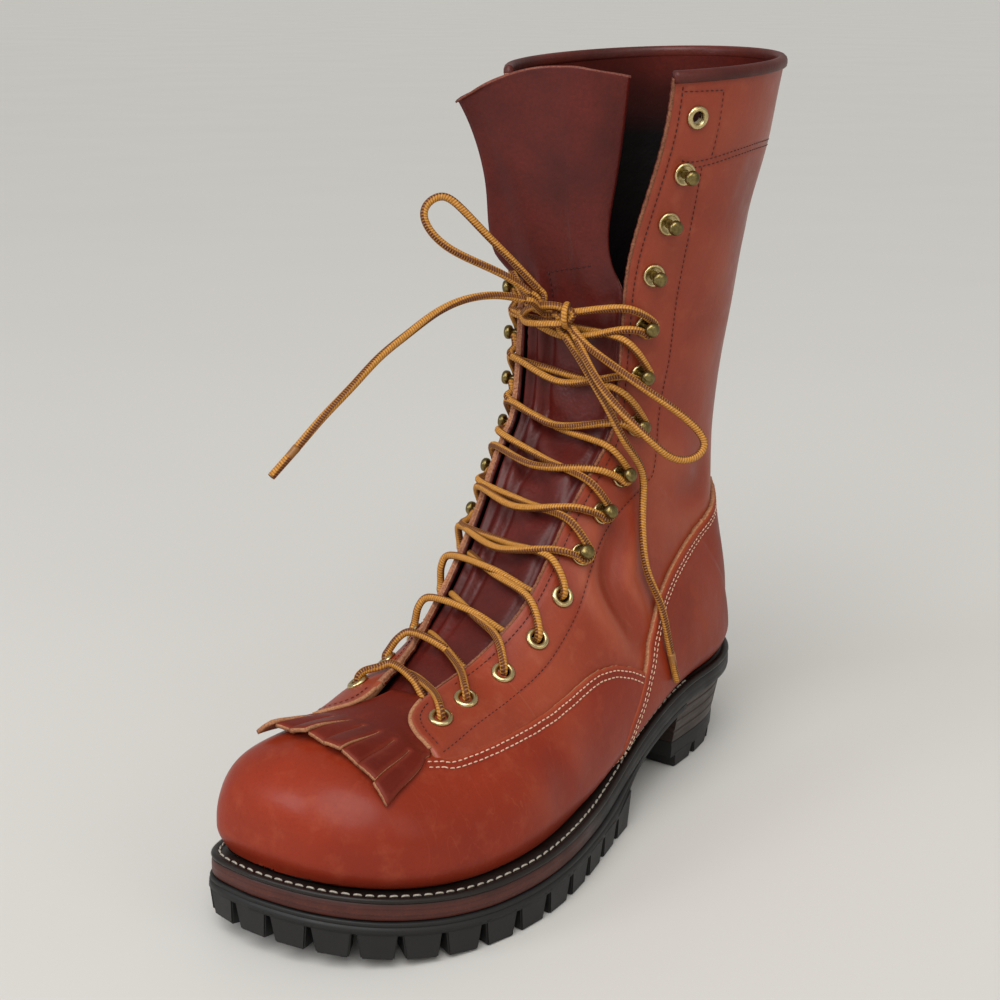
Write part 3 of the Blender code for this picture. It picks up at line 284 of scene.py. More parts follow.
def natural_spline(values, at):
    """Smooth curve through one column of a table, a knot per row."""
    y = np.asarray(values, float)
    n = len(y)
    rows = np.eye(n)
    rhs = np.zeros(n)
    for i in range(1, n - 1):
        rows[i, i - 1:i + 2] = (1.0, 4.0, 1.0)
        rhs[i] = 6.0 * (y[i + 1] - 2.0 * y[i] + y[i - 1])
    bend = np.linalg.solve(rows, rhs)
    at = np.asarray(at, float)
    i = np.clip(np.floor(at).astype(int), 0, n - 2)
    b = at - i
    a = 1.0 - b
    low = (y[i] - bend[i] / 6.0) * a + bend[i] * a**3 / 6.0
    return low + (y[i + 1] - bend[i + 1] / 6.0) * b + bend[i + 1] * b**3 / 6.0


def column(table, index):
    """One column of a table."""
    return [row[index] for row in table]


def smooth_line(table, count=400):
    """Table of two columns read as one smooth line."""
    at = np.linspace(0.0, len(table) - 1.0, count)
    return np.c_[natural_spline(column(table, 0), at), natural_spline(column(table, 1), at)]


def smooth_step(low, high, x):
    """Soft rise from 0 at low to 1 at high."""
    t = np.clip((np.asarray(x, float) - low) / (high - low), 0.0, 1.0)
    return t * t * (3.0 - 2.0 * t)


def unit(v):
    """The vector, or each row of vectors, at length 1."""
    v = np.asarray(v, float)
    return v / np.maximum(np.linalg.norm(v, axis=-1, keepdims=True), 1e-12)


def run_along(p):
    """Distance along a path at each of its points."""
    return np.r_[0.0, np.cumsum(np.linalg.norm(np.diff(p, axis=0), axis=1))]


def even_path(p, step):
    """The path read again at even steps."""
    run = run_along(p)
    at = np.linspace(0.0, run[-1], max(int(run[-1] / step), 2) + 1)
    return np.stack([np.interp(at, run, p[:, c]) for c in range(p.shape[1])], -1)


def toe_spring(y):
    """How far the sole rises towards the toe."""
    t = np.clip((SPRING_START - np.asarray(y, float)) / (SOLE_LENGTH / 2.0 + SPRING_START), 0.0, 1.2)
    return TOE_SPRING * t**1.7


def seat(y):
    """Height of the welt's top face."""
    ramp = smooth_step(RAMP_FRONT, RAMP_BACK, y)
    return WELT_TOP_FORE + (WELT_TOP_HEEL - WELT_TOP_FORE) * ramp + toe_spring(y)


def sole_loop(count=241):
    """Welt edge as one loop: tip, lateral side, heel back, medial side."""
    at = np.linspace(0.0, len(SOLE_ROWS) - 1.0, count)
    y = natural_spline(column(SOLE_ROWS, 1), at)
    lateral = np.c_[natural_spline(column(SOLE_ROWS, 2), at), y]
    medial = np.c_[natural_spline(column(SOLE_ROWS, 3), at), y]
    return np.vstack([lateral, medial[-2:0:-1]])


def inset_loop(loop, inset):
    """The loop moved inwards by one size, or by one size per point."""
    along = np.roll(loop, -1, 0) - np.roll(loop, 1, 0)
    outward = unit(np.c_[along[:, 1], -along[:, 0]])
    return loop - outward * np.broadcast_to(np.asarray(inset, float), len(loop))[:, None]


def loop_sides(loop, y):
    """Lateral and medial x of a loop at the stations y."""
    turned = np.roll(loop, -loop[:, 1].argmin(), 0)
    last = turned[:, 1].argmax()
    lateral = turned[:last + 1]
    medial = np.vstack([turned[last:], turned[:1]])[::-1]
    return [np.interp(y, half[:, 1], half[:, 0]) for half in (lateral, medial)]


LOOP = sole_loop()
FEATHER = inset_loop(LOOP, FEATHER_FORE + (FEATHER_HEEL - FEATHER_FORE) * smooth_step(0.0, 90.0, LOOP[:, 1]))
SECTIONS = {name: column(UPPER_ROWS, i + 1) for i, name in enumerate(SECTION_COLUMNS)}
SECTIONS["base_z"] = [z or float(seat(y)) for y, z in zip(SECTIONS["base_y"], SECTIONS["base_z"])]


def section(a, columns, closed=False):
    """Lateral and medial half of the upper's section at row a, from the sole to the throat."""
    g = {name: float(natural_spline(SECTIONS[name], [a])[0]) for name in SECTION_COLUMNS}
    lateral = medial = 0.0
    base_z = g["base_z"]
    if a < HEEL_ROW:
        y = np.clip(g["base_y"], FEATHER[:, 1].min(), FEATHER[:, 1].max())
        lateral, medial = loop_sides(FEATHER, y)
        base_z = float(seat(g["base_y"]))
    base_z += WELT_GAP
    centre = 0.5 * (lateral + medial)
    foot = 0.5 * (lateral - medial)
    half = max(g["half"], 0.0)
    power = 2.0 / g["full"]
    turn = np.linspace(0.0, 0.5 * math.pi, 97)
    upper_rise = g["widest"] + (1.0 - g["widest"]) * np.sin(turn[1:])**power
    rise = np.r_[g["widest"] * (1.0 - np.cos(turn)), upper_rise]
    out = np.r_[foot + (half - foot) * np.sin(turn), half * np.maximum(np.cos(turn[1:]), 0.0)**power]
    middle = centre * (1.0 - rise) + g["ridge_x"] * rise
    y = g["base_y"] + (g["top_y"] - g["base_y"]) * rise
    z = base_z + (g["top_z"] - base_z) * rise
    halves = []
    for sign in (1.0, -1.0):
        p = np.c_[middle + sign * out, y, z]
        run = run_along(p)
        end = run[-1]
        if a > THROAT_ROW and not closed:
            top = np.argmax(out)
            gap = g["lateral_gap" if sign > 0.0 else "medial_gap"]
            end = np.interp(-gap, -out[top:], run[top:])
        at = np.asarray(columns) * end
        halves.append(np.stack([np.interp(at, run, p[:, c]) for c in range(3)], -1))
    return halves


class Sheet:
    """Triangles with a normal and a mark (row, height, side) at every point."""

    def __init__(self, points, faces, marks):
        self.points = np.asarray(points, float)
        self.faces = np.asarray(faces, int)
        self.marks = np.asarray(marks, float)
        self.find_normals()

    def find_normals(self):
        """Normal at each point, from the triangles that meet there."""
        corner = self.points[self.faces]
        flat = np.cross(corner[:, 1] - corner[:, 0], corner[:, 2] - corner[:, 0])
        self.normals = np.zeros_like(self.points)
        for c in range(3):
            np.add.at(self.normals, self.faces[:, c], flat)
        self.normals = unit(self.normals)

    def cut(self, field, snap=0.18):
        """The part of the sheet where the field, one value per point, is positive."""
        f = np.array(field, float)
        sides = np.vstack([self.faces[:, pair] for pair in ([0, 1], [1, 2], [2, 0])])
        edges = np.unique(np.sort(sides, 1), axis=0)
        for i, j in edges[f[edges[:, 0]] * f[edges[:, 1]] < 0.0]:
            if f[i] * f[j] < 0.0:
                share = f[i] / (f[i] - f[j])
                if share < snap:
                    f[i] = 0.0
                elif share > 1.0 - snap:
                    f[j] = 0.0
        low = f[self.faces].min(1)
        high = f[self.faces].max(1)
        faces = [tuple(t) for t in self.faces[(low >= 0.0) & (high > 0.0)]]
        points = list(self.points)
        marks = list(self.marks)
        normals = list(self.normals)
        made = {}
        for tri in self.faces[(low < 0.0) & (high > 0.0)]:
            ring = []
            for i, j in zip(tri, np.roll(tri, -1)):
                if f[i] >= 0.0:
                    ring.append(int(i))
                if f[i] * f[j] < 0.0:
                    key = (min(i, j), max(i, j))
                    if key not in made:
                        t = f[i] / (f[i] - f[j])
                        made[key] = len(points)
                        points.append(self.points[i] + (self.points[j] - self.points[i]) * t)
                        marks.append(self.marks[i] + (self.marks[j] - self.marks[i]) * t)
                        normals.append(unit(self.normals[i] + (self.normals[j] - self.normals[i]) * t))
                    ring.append(made[key])
            faces += [(ring[0], ring[k], ring[k + 1]) for k in range(1, len(ring) - 1)]
        used, faces = np.unique(np.array(faces), return_inverse=True)
        piece = Sheet.__new__(Sheet)
        piece.points = np.array(points)[used]
        piece.marks = np.array(marks)[used]
        piece.normals = np.array(normals)[used]
        piece.faces = faces.reshape(-1, 3)
        return piece

    def rim(self):
        """Edges that only one triangle has, in the direction of that triangle."""
        sides = {(int(t[i]), int(t[(i + 1) % 3])) for t in self.faces for i in range(3)}
        return [(i, j) for i, j in sides if (j, i) not in sides]

    def shell(self, low, high, round_off=0.4):
        """Closed solid between two offsets: points, faces and their kinds, 0 top, 1 wall, 2 underside."""
        n = len(self.points)
        high = np.broadcast_to(np.asarray(high, float), n)
        rim = self.rim()
        on_rim = np.zeros(n, bool)
        on_rim[[i for edge in rim for i in edge]] = True
        top = self.points + self.normals * (high - np.where(on_rim, round_off, 0.0))[:, None]
        under = self.points + self.normals * np.broadcast_to(np.asarray(low, float), n)[:, None]
        points = np.vstack([top, under])
        points[:, 2] = np.maximum(points[:, 2], seat(points[:, 1]) + 0.1)
        faces = [tuple(int(i) for i in t) for t in self.faces]
        walls = []
        for i, j in rim:
            walls += [(j, i, i + n), (j, i + n, j + n)]
        under_faces = [(t[2] + n, t[1] + n, t[0] + n) for t in faces]
        kinds = [0] * len(faces) + [1] * len(walls) + [2] * len(under_faces)
        return points, faces + walls + under_faces, kinds


def grid_faces(across, count, closed=False):
    """Quads between rows of points."""
    faces = []
    for i in range(count - 1):
        for j in range(across if closed else across - 1):
            k = (j + 1) % across
            p, q = i * across, (i + 1) * across
            faces.append((p + j, p + k, q + k, q + j))
    return faces


def rod_faces(around, count):
    """Faces of a rod through rings of points, with a cap at each end."""
    last = (count - 1) * around
    caps = [tuple(range(around))[::-1], tuple(range(last, last + around))]
    return grid_faces(around, count, closed=True) + caps


def ring_faces(around, count):
    """Faces through rings of points, with the last ring joined to the first."""
    last = (count - 1) * around
    joint = [(last + j, last + (j + 1) % around, (j + 1) % around, j) for j in range(around)]
    return grid_faces(around, count, closed=True) + joint


def slab_faces(around, count):
    """Faces of a slab through rings that run out on one side and back on the other, closed over and under."""
    last = (count - 1) * around
    faces = grid_faces(around, count, closed=True)
    for i in range(around // 2 - 1):
        faces.append((i, i + 1, around - 2 - i, around - 1 - i))
        faces.append((last + i, last + around - 1 - i, last + around - 2 - i, last + i + 1))
    return faces


def strip_sheet(rows, skip=()):
    """Sheet through rows of points; cells named in skip stay open."""
    across = len(rows[0])
    points = [p for row in rows for p in row]
    marks = [(i, j, 0.0) for i in range(len(rows)) for j in range(across)]
    faces = []
    for i in range(len(rows) - 1):
        for j in range(across - 1):
            if (i, j) in skip:
                continue
            p, q = i * across + j, (i + 1) * across + j
            faces += [(p, q, q + 1), (p, q + 1, p + 1)]
    return Sheet(points, faces, marks)


def linear(hex_colour):
    """sRGB hex colour as linear red, green, blue, alpha."""
    parts = [int(hex_colour[i:i + 2], 16) / 255.0 for i in (1, 3, 5)]
    return (*(c / 12.92 if c <= 0.04045 else ((c + 0.055) / 1.055)**2.4 for c in parts), 1.0)


def per_mm(size):
    """Texture scale for a pattern of that size in millimetres."""
    return 1.0 / (size * MM)


def add(tree, kind, settings=()):
    """One node with its settings and links: an input takes a number, a hex colour or a socket to link."""
    node = tree.nodes.new("ShaderNode" + kind)
    for key, value in dict(settings).items():
        if isinstance(value, bpy.types.NodeSocket):
            tree.links.new(value, node.inputs[key])
        elif isinstance(key, int) or key in node.inputs:
            node.inputs[key].default_value = linear(value) if isinstance(value, str) else value
        else:
            setattr(node, key, value)
    return node


def new_material(name, **constants):
    """Material with one Principled shader, constants on its own sockets, and the object's coordinates."""
    made = bpy.data.materials.new(name)
    made.use_nodes = True
    tree = made.node_tree
    tree.nodes.clear()
    shader = add(tree, "BsdfPrincipled", {key.replace("_", " "): value for key, value in constants.items()})
    add(tree, "OutputMaterial", {"Surface": shader.outputs["BSDF"], "is_active_output": True})
    place = add(tree, "TexCoord").outputs["Object"]
    return made, tree, shader, place


def laid_over(tree, base, colour, pattern, low, high, least, most):
    """A second colour over the base, from least to most as the pattern goes from low to high."""
    share = add(tree, "MapRange", {"Value": pattern, "From Min": low, "From Max": high,
                                   "To Min": least, "To Max": most}).outputs["Result"]
    return add(tree, "Mix", {"data_type": "RGBA", 0: share, 6: base, 7: colour}).outputs[2]


def dress(tree, shader, colour, pattern, glossy, dull, relief=None):
    """Colour, roughness that follows a pattern, and relief, all linked to the shader."""
    rough = add(tree, "MapRange", {"Value": pattern, "From Min": 0.3, "From Max": 0.7,
                                   "To Min": glossy, "To Max": dull})
    tree.links.new(colour, shader.inputs["Base Color"])
    tree.links.new(rough.outputs["Result"], shader.inputs["Roughness"])
    if relief:
        tree.links.new(relief.outputs["Normal"], shader.inputs["Normal"])


def pull_up_leather(name, body, deep, worn, gloss=0.40, coat=0.08, gleam=0.4):
    """Oiled pull-up cowhide, drum dyed and waxed: warm mottled colour, paler where it bends or rubs, a soft
    waxy shine and a grain of about 1 mm that shows only in the highlights."""
    made, tree, shader, place = new_material(name, IOR=1.45, Specular_IOR_Level=gleam, Coat_Weight=coat,
                                             Coat_Roughness=0.2, Coat_IOR=1.45)
    cloud, mottle, speck = (
        add(tree, "TexNoise", {"Vector": place, "Scale": per_mm(size), "Detail": detail,
                               "Roughness": rough}).outputs["Fac"]
        for size, detail, rough in ((55.0, 3.0, 0.55), (9.0, 5.0, 0.6), (1.3, 3.0, 0.6)))
    fold, seam, edge, rubbed = (add(tree, "Attribute", {"attribute_name": key}).outputs["Fac"]
                                for key in ("fold", "seam", "edge", "rubbed"))
    base = laid_over(tree, body, deep, cloud, 0.35, 0.75, 0.0, 0.75)
    base = laid_over(tree, base, worn, mottle, 0.52, 0.80, 0.0, 0.32)
    base = laid_over(tree, base, deep, speck, 0.50, 0.72, 0.0, 0.30)
    # paler on raised ridges and slack, the pull-up lightening of stretched leather; darker in crease troughs
    # and where the upper turns in at the welt, which is painted shade
    base = laid_over(tree, base, worn, fold, 0.0, 1.0, 0.0, 0.35)
    base = laid_over(tree, base, deep, fold, -1.0, 0.0, 0.45, 0.0)
    base = laid_over(tree, base, deep, seam, 0.3, 1.7, 0.55, 0.0)
    base = laid_over(tree, base, worn, edge, 0.0, 2.2, 0.5, 0.0)
    # scuffs are drawn about 0.4 mm wide, coarser than real ones, so that they show
    stretched = add(tree, "Mapping", {"Vector": place, "Rotation": (0.5, 0.3, 0.9), "Scale": (1.0, 3.5, 1.0)})
    scuff = add(tree, "TexNoise", {"Vector": stretched.outputs["Vector"], "Scale": per_mm(28.0),
                                   "Detail": 2.0, "Roughness": 0.5, "Distortion": 0.4})
    middle = add(tree, "Math", {"operation": "SUBTRACT", 0: scuff.outputs["Fac"], 1: 0.5})
    line = add(tree, "Math", {"operation": "ABSOLUTE", 0: middle.outputs[0]})
    faint = add(tree, "MapRange", {"Value": line.outputs[0], "From Max": 0.009,
                                   "To Min": 0.28, "To Max": 0.0})
    thin = add(tree, "Math", {"operation": "MULTIPLY", 0: faint.outputs["Result"], 1: rubbed})
    base = add(tree, "Mix", {"data_type": "RGBA", 0: thin.outputs[0], 6: base, 7: worn}).outputs[2]
    pore = add(tree, "TexVoronoi", {"Vector": place, "Scale": per_mm(1.1), "feature": "SMOOTH_F1",
                                    "Smoothness": 0.6})
    fine = add(tree, "Bump", {"Strength": 0.10, "Distance": 0.25 * MM, "Height": pore.outputs["Distance"]})
    sunk = add(tree, "MapRange", {"Value": seam, "From Max": 2.2})
    puckered = add(tree, "Bump", {"Strength": 0.45, "Distance": 0.5 * MM, "Height": sunk.outputs["Result"],
                                  "Normal": fine.outputs["Normal"]})
    soft = add(tree, "Bump", {"Strength": 0.22, "Distance": 0.8 * MM, "Height": mottle,
                              "Normal": puckered.outputs["Normal"]})
    dress(tree, shader, base, mottle, gloss - 0.05, gloss + 0.08, soft)
    # the wax lies unevenly over wide patches too
    patchy = add(tree, "MapRange", {"Value": cloud, "From Min": 0.3, "From Max": 0.7,
                                    "To Min": -0.04, "To Max": 0.05})
    waxed = add(tree, "Math", {"operation": "ADD", 0: shader.inputs["Roughness"].links[0].from_socket,
                               1: patchy.outputs["Result"]})
    tree.links.new(waxed.outputs[0], shader.inputs["Roughness"])
    return made


def soft_leather(name, body, deep, gloss=0.42, pebble=1.5, relief=0.35, shade=None, index=1.40, gleam=0.5):
    """Garment leather, drum dyed and glazed: deep even colour with a pebbled grain of 1 to 2 mm."""
    made, tree, shader, place = new_material(name, IOR=index, Specular_IOR_Level=gleam,
                                             Coat_Weight=0.06 * gleam, Coat_Roughness=0.3)
    cloud = add(tree, "TexNoise", {"Vector": place, "Scale": per_mm(30.0), "Detail": 4.0}).outputs["Fac"]
    pores = add(tree, "TexVoronoi", {"Vector": place, "Scale": per_mm(pebble), "feature": "SMOOTH_F1",
                                     "Smoothness": 0.5}).outputs["Distance"]
    base = laid_over(tree, body, deep, cloud, 0.35, 0.68, 0.0, 1.0)
    base = laid_over(tree, base, deep, pores, 0.35, 0.75, 0.0, 0.35)
    if shade:
        # painted shade: the lining darkens to nearly black towards the foot, from 10 to 42 mm under the
        # collar, for the shade deep inside the shaft
        depth = add(tree, "Attribute", {"attribute_name": "depth"}).outputs["Fac"]
        base = laid_over(tree, base, shade, depth, 10.0, 42.0, 0.0, 1.0)
    wave = add(tree, "TexNoise", {"Vector": place, "Scale": per_mm(9.0), "Detail": 3.0})
    big = add(tree, "Bump", {"Strength": 0.4, "Distance": 1.2 * MM, "Height": wave.outputs["Fac"]})
    fine = add(tree, "Bump", {"Strength": relief, "Distance": 0.25 * MM, "invert": True, "Height": pores,
                              "Normal": big.outputs["Normal"]})
    dress(tree, shader, base, cloud, gloss - 0.06, gloss + 0.08, fine)
    return made


def raw_edge(name, body, deep):
    """Cut edge of vegetable-tanned hide: pale tan fibre, matt, with darker strands of about 0.9 mm."""
    made, tree, shader, place = new_material(name, IOR=1.45)
    strand = add(tree, "TexNoise", {"Vector": place, "Scale": per_mm(0.9), "Detail": 4.0,
                                    "Roughness": 0.7}).outputs["Fac"]
    patch = add(tree, "TexNoise", {"Vector": place, "Scale": per_mm(12.0), "Detail": 2.0}).outputs["Fac"]
    base = laid_over(tree, body, deep, strand, 0.40, 0.65, 0.0, 1.0)
    base = laid_over(tree, base, deep, patch, 0.40, 0.70, 0.0, 0.5)
    fuzz = add(tree, "Bump", {"Strength": 0.5, "Distance": 0.3 * MM, "Height": strand})
    dress(tree, shader, base, strand, 0.75, 0.92, fuzz)
    return made


def sole_edge(name, body, deep, worn, layer, gloss, inked=False):
    """Trimmed and inked sole leather: burnished brown edge with layers of the given thickness showing."""
    made, tree, shader, place = new_material(name, IOR=1.42, Coat_Weight=0.06, Coat_Roughness=0.35)
    depth = add(tree, "Attribute", {"attribute_name": "depth"}).outputs["Fac"]
    cloud = add(tree, "TexNoise", {"Vector": place, "Scale": per_mm(14.0), "Detail": 4.0}).outputs["Fac"]
    grit = add(tree, "TexNoise", {"Vector": place, "Scale": per_mm(1.0), "Detail": 3.0,
                                  "Roughness": 0.7}).outputs["Fac"]
    wander = add(tree, "Math", {"operation": "MULTIPLY_ADD", 0: cloud, 1: 0.9 * layer, 2: depth})
    turns = add(tree, "Math", {"operation": "MULTIPLY", 0: wander.outputs[0], 1: 2.0 * math.pi / layer})
    bands = add(tree, "Math", {"operation": "SINE", 0: turns.outputs[0]}).outputs[0]
    base = laid_over(tree, body, deep, bands, 0.2, 1.0, 0.0, 0.6)
    base = laid_over(tree, base, worn, grit, 0.52, 0.75, 0.0, 0.5)
    base = laid_over(tree, base, deep, cloud, 0.45, 0.75, 0.0, 0.6)
    if inked:
        # black ink on the waist and heel, and darker along the top, just under the welt
        waist = add(tree, "Attribute", {"attribute_name": "waist"}).outputs["Fac"]
        base = add(tree, "Mix", {"data_type": "RGBA", 0: waist, 6: base, 7: "#0f0b0a"}).outputs[2]
        base = laid_over(tree, base, "#160d0a", depth, 2.0, 4.6, 0.75, 0.0)
    lines = add(tree, "Bump", {"Strength": 0.25, "Distance": 0.2 * MM, "Height": bands})
    rough = add(tree, "Bump", {"Strength": 0.25, "Distance": 0.2 * MM, "Height": grit,
                               "Normal": lines.outputs["Normal"]})
    dress(tree, shader, base, cloud, gloss, gloss + 0.2, rough)
    return made


def tread_rubber():
    """Moulded carbon-black rubber: nearly black, matt, with a faint grey bloom and a fine moulded skin."""
    made, tree, shader, place = new_material("moulded_black_rubber", IOR=1.46)
    dust = add(tree, "TexNoise", {"Vector": place, "Scale": per_mm(22.0), "Detail": 6.0,
                                  "Roughness": 0.65}).outputs["Fac"]
    skin = add(tree, "TexNoise", {"Vector": place, "Scale": per_mm(0.8), "Detail": 2.0}).outputs["Fac"]
    base = laid_over(tree, "#0d0c0c", "#1e1d1c", dust, 0.45, 0.75, 0.0, 0.55)
    base = laid_over(tree, base, "#2e2c2a", skin, 0.60, 0.80, 0.0, 0.25)
    moulded = add(tree, "Bump", {"Strength": 0.18, "Distance": 0.2 * MM, "Height": skin})
    dress(tree, shader, base, dust, 0.48, 0.68, moulded)
    return made


def brass(name, bright, dark, gloss, tarnish):
    """Stamped brass, lacquered: a metal with a warm shine, browner in scattered stains of about 2.5 mm."""
    made, tree, shader, place = new_material(name, Metallic=1.0)
    stain = add(tree, "TexNoise", {"Vector": place, "Scale": per_mm(2.5), "Detail": 4.0,
                                   "Roughness": 0.6}).outputs["Fac"]
    base = laid_over(tree, bright, dark, stain, 0.40, 0.72, 0.0, tarnish)
    dress(tree, shader, base, stain, gloss, gloss + 0.16)
    return made


def thread(name, body, deep):
    """Waxed polyester sewing thread: dull shine, with the twist of the plies showing as fine dark steps."""
    made, tree, shader, place = new_material(name, IOR=1.4)
    ply = add(tree, "TexNoise", {"Vector": place, "Scale": per_mm(0.7), "Detail": 2.0}).outputs["Fac"]
    dress(tree, shader, laid_over(tree, body, deep, ply, 0.4, 0.7, 0.0, 0.7), ply, 0.5, 0.7)
    return made


def braided_lace(rib=1.2, strands=2.0, tracer_twist=110.0):
    """Round braided polyester lace: slanting amber ribs and a flecked brown band that winds slowly along it.
    Ribs are drawn 1.2 mm apart, coarser than the real 0.9 mm, so that they show."""
    made, tree, shader, place = new_material("braided_amber_lace", IOR=1.42)
    along, sine, cosine = (add(tree, "Attribute", {"attribute_name": key}).outputs["Fac"]
                           for key in ("along", "turn_sine", "turn_cosine"))
    turn = add(tree, "Math", {"operation": "ARCTAN2", 0: sine, 1: cosine}).outputs[0]
    humps = []
    for way in (strands, -strands):
        wound = add(tree, "Math", {"operation": "MULTIPLY", 0: turn, 1: way / (2.0 * math.pi)})
        both = add(tree, "Math", {"operation": "MULTIPLY_ADD", 0: along, 1: 1.0 / rib, 2: wound.outputs[0]})
        saw = add(tree, "Math", {"operation": "FRACT", 0: both.outputs[0]})
        humps.append(add(tree, "Math", {"operation": "PINGPONG", 0: saw.outputs[0], 1: 0.5}).outputs[0])
    twice = add(tree, "Math", {"operation": "MULTIPLY", 0: turn, 1: 2.0})
    wander = add(tree, "Math", {"operation": "MULTIPLY_ADD", 0: along, 1: 2.0 * math.pi / tracer_twist,
                                2: twice.outputs[0]})
    wave = add(tree, "Math", {"operation": "SINE", 0: wander.outputs[0]})
    band = add(tree, "MapRange", {"Value": wave.outputs[0], "From Min": 0.05, "From Max": 0.5})
    dash = add(tree, "MapRange", {"Value": humps[1], "From Min": 0.06, "From Max": 0.24,
                                  "To Min": 0.35, "To Max": 0.95})
    tracer = add(tree, "Math", {"operation": "MULTIPLY", 0: band.outputs["Result"],
                                1: dash.outputs["Result"]})
    fuzz = add(tree, "TexNoise", {"Vector": place, "Scale": per_mm(0.8), "Detail": 3.0}).outputs["Fac"]
    base = laid_over(tree, "#cf9540", "#b07328", fuzz, 0.35, 0.70, 0.0, 1.0)
    # painted shade: darker in the grooves between the slanting ribs
    base = laid_over(tree, base, "#6d370f", humps[0], 0.06, 0.32, 0.7, 0.0)
    base = add(tree, "Mix", {"data_type": "RGBA", 0: tracer.outputs[0], 6: base, 7: "#4b1a08"}).outputs[2]
    woven = add(tree, "Bump", {"Strength": 0.9, "Distance": 0.4 * MM, "Height": humps[0]})
    dress(tree, shader, base, fuzz, 0.55, 0.75, woven)
    return made


def studio_paper(name, body, deep):
    """Matt pale studio paper with a very faint unevenness."""
    made, tree, shader, place = new_material(name, IOR=1.45)
    cloud = add(tree, "TexNoise", {"Vector": place, "Scale": per_mm(400.0), "Detail": 2.0}).outputs["Fac"]
    dress(tree, shader, laid_over(tree, body, deep, cloud, 0.3, 0.7, 0.0, 1.0), cloud, 0.5, 0.6)
    return made


UPPER_LEATHER = pull_up_leather("oiled_cowhide_quarter", "#8e361d", "#762a16", "#a95b3f")
VAMP_LEATHER = pull_up_leather("oiled_cowhide_vamp", "#8c2e17", "#702111", "#a45237", coat=0.12, gleam=0.2)
COUNTER_LEATHER = pull_up_leather("oiled_cowhide_counter", "#8a2d13", "#6f210d", "#a14e2e",
                                  gloss=0.46, coat=0.05, gleam=0.22)
KILTIE_LEATHER = pull_up_leather("oiled_cowhide_kiltie", "#671b0d", "#4f1208", "#843522",
                                 gloss=0.50, coat=0.03, gleam=0.22)
STRAP_LEATHER = pull_up_leather("oiled_cowhide_strap", "#8c3620", "#722917", "#a85c42")
TONGUE_LEATHER = soft_leather("glazed_garment_leather", "#5c1912", "#43100c", gloss=0.44, index=1.37)
# painted shade: the lining turns near black deep in the shaft
LINING_LEATHER = soft_leather("glove_leather_lining", "#4d160f", "#360e09", gloss=0.62, relief=0.2,
                              shade="#060202", gleam=0.1)
BINDING_LEATHER = soft_leather("rolled_binding_leather", "#5a2017", "#40140f", gloss=0.46, pebble=1.0,
                               relief=0.25, index=1.37)
CUT_EDGE = raw_edge("cut_hide_edge", "#b5825c", "#8a5538")
DARK_EDGE = raw_edge("stained_cut_edge", "#8f5a3d", "#5f3322")
FACING_EDGE = raw_edge("rubbed_facing_edge", "#b37c5b", "#7b4a32")
TONGUE_EDGE = raw_edge("rubbed_tongue_edge", "#8a5040", "#5f2c22")
INSOLE_LEATHER = raw_edge("insole_shoulder_leather", "#8f6a48", "#6f4d33")
WELT_LEATHER = sole_edge("inked_welt_leather", "#120a06", "#090503", "#261a13", 3.0, 0.38)
MIDSOLE_LEATHER = sole_edge("burnished_midsole_leather", "#4a1d13", "#2f100a", "#683424", 2.6, 0.46,
                            inked=True)
STACK_LEATHER = sole_edge("stacked_heel_leather", "#33241c", "#1b120e", "#52423a", 3.4, 0.40)
RUBBER = tread_rubber()
EYELET_BRASS = brass("lacquered_brass_eyelet", "#cbb888", "#8a7444", 0.2, 0.6)
HOOK_BRASS = brass("antique_brass_hook", "#86764a", "#43381f", 0.24, 0.8)
WHITE_THREAD = thread("waxed_natural_thread", "#d9b69c", "#ab7f66")
WELT_THREAD = thread("waxed_grey_thread", "#aaa396", "#716a60")
DARK_THREAD = thread("waxed_brown_thread", "#3c0f08", "#260804")
LACE_YARN = braided_lace()
AGLET = soft_leather("pressed_lace_tip", "#9c6a34", "#6f451e", gloss=0.35, pebble=3.0, relief=0.05)


def piece(name, points, faces, materials, slot, stands_for=(), kinds=None, marks=None, smooth=True):
    """One piece of the boot, from points in table millimetres."""
    mesh = bpy.data.meshes.new(name)
    mesh.from_pydata(((np.asarray(points, float) - CENTRE) * MM).tolist(), [], [tuple(f) for f in faces])
    for one in materials:
        mesh.materials.append(one)
    if kinds is not None:
        mesh.polygons.foreach_set("material_index", np.asarray(kinds, np.int32))
    mesh.polygons.foreach_set("use_smooth", np.full(len(mesh.polygons), smooth))
    for key, values in (marks or {}).items():
        mark = mesh.attributes.new(key, "FLOAT", "POINT")
        mark.data.foreach_set("value", np.asarray(values, np.float32))
    mesh.update()
    made = bpy.data.objects.new(name, mesh)
    bpy.context.scene.collection.objects.link(made)
    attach(made, "root")
    if stands_for:
        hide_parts(*stands_for)
    return made


def face_out(made):
    """Turns all faces of a closed piece outwards."""
    work = bmesh.new()
    work.from_mesh(made.data)
    bmesh.ops.recalc_face_normals(work, faces=work.faces)
    work.to_mesh(made.data)
    work.free()
    return made


def gather(bodies):
    """Several bodies of points and faces as one."""
    points, faces = [], []
    for p, f in bodies:
        first = len(points)
        faces += [tuple(i + first for i in face) for face in f]
        points += [tuple(q) for q in p]
    return np.array(points), faces


def nearest(points, lines, limit=FAR):
    """Distance of each point to the nearest point of some paths."""
    spots = np.vstack(lines)
    tree = kdtree.KDTree(len(spots))
    for i, p in enumerate(spots):
        tree.insert(p, i)
    tree.balance()
    return np.array([min(tree.find(p)[2], limit) for p in points])


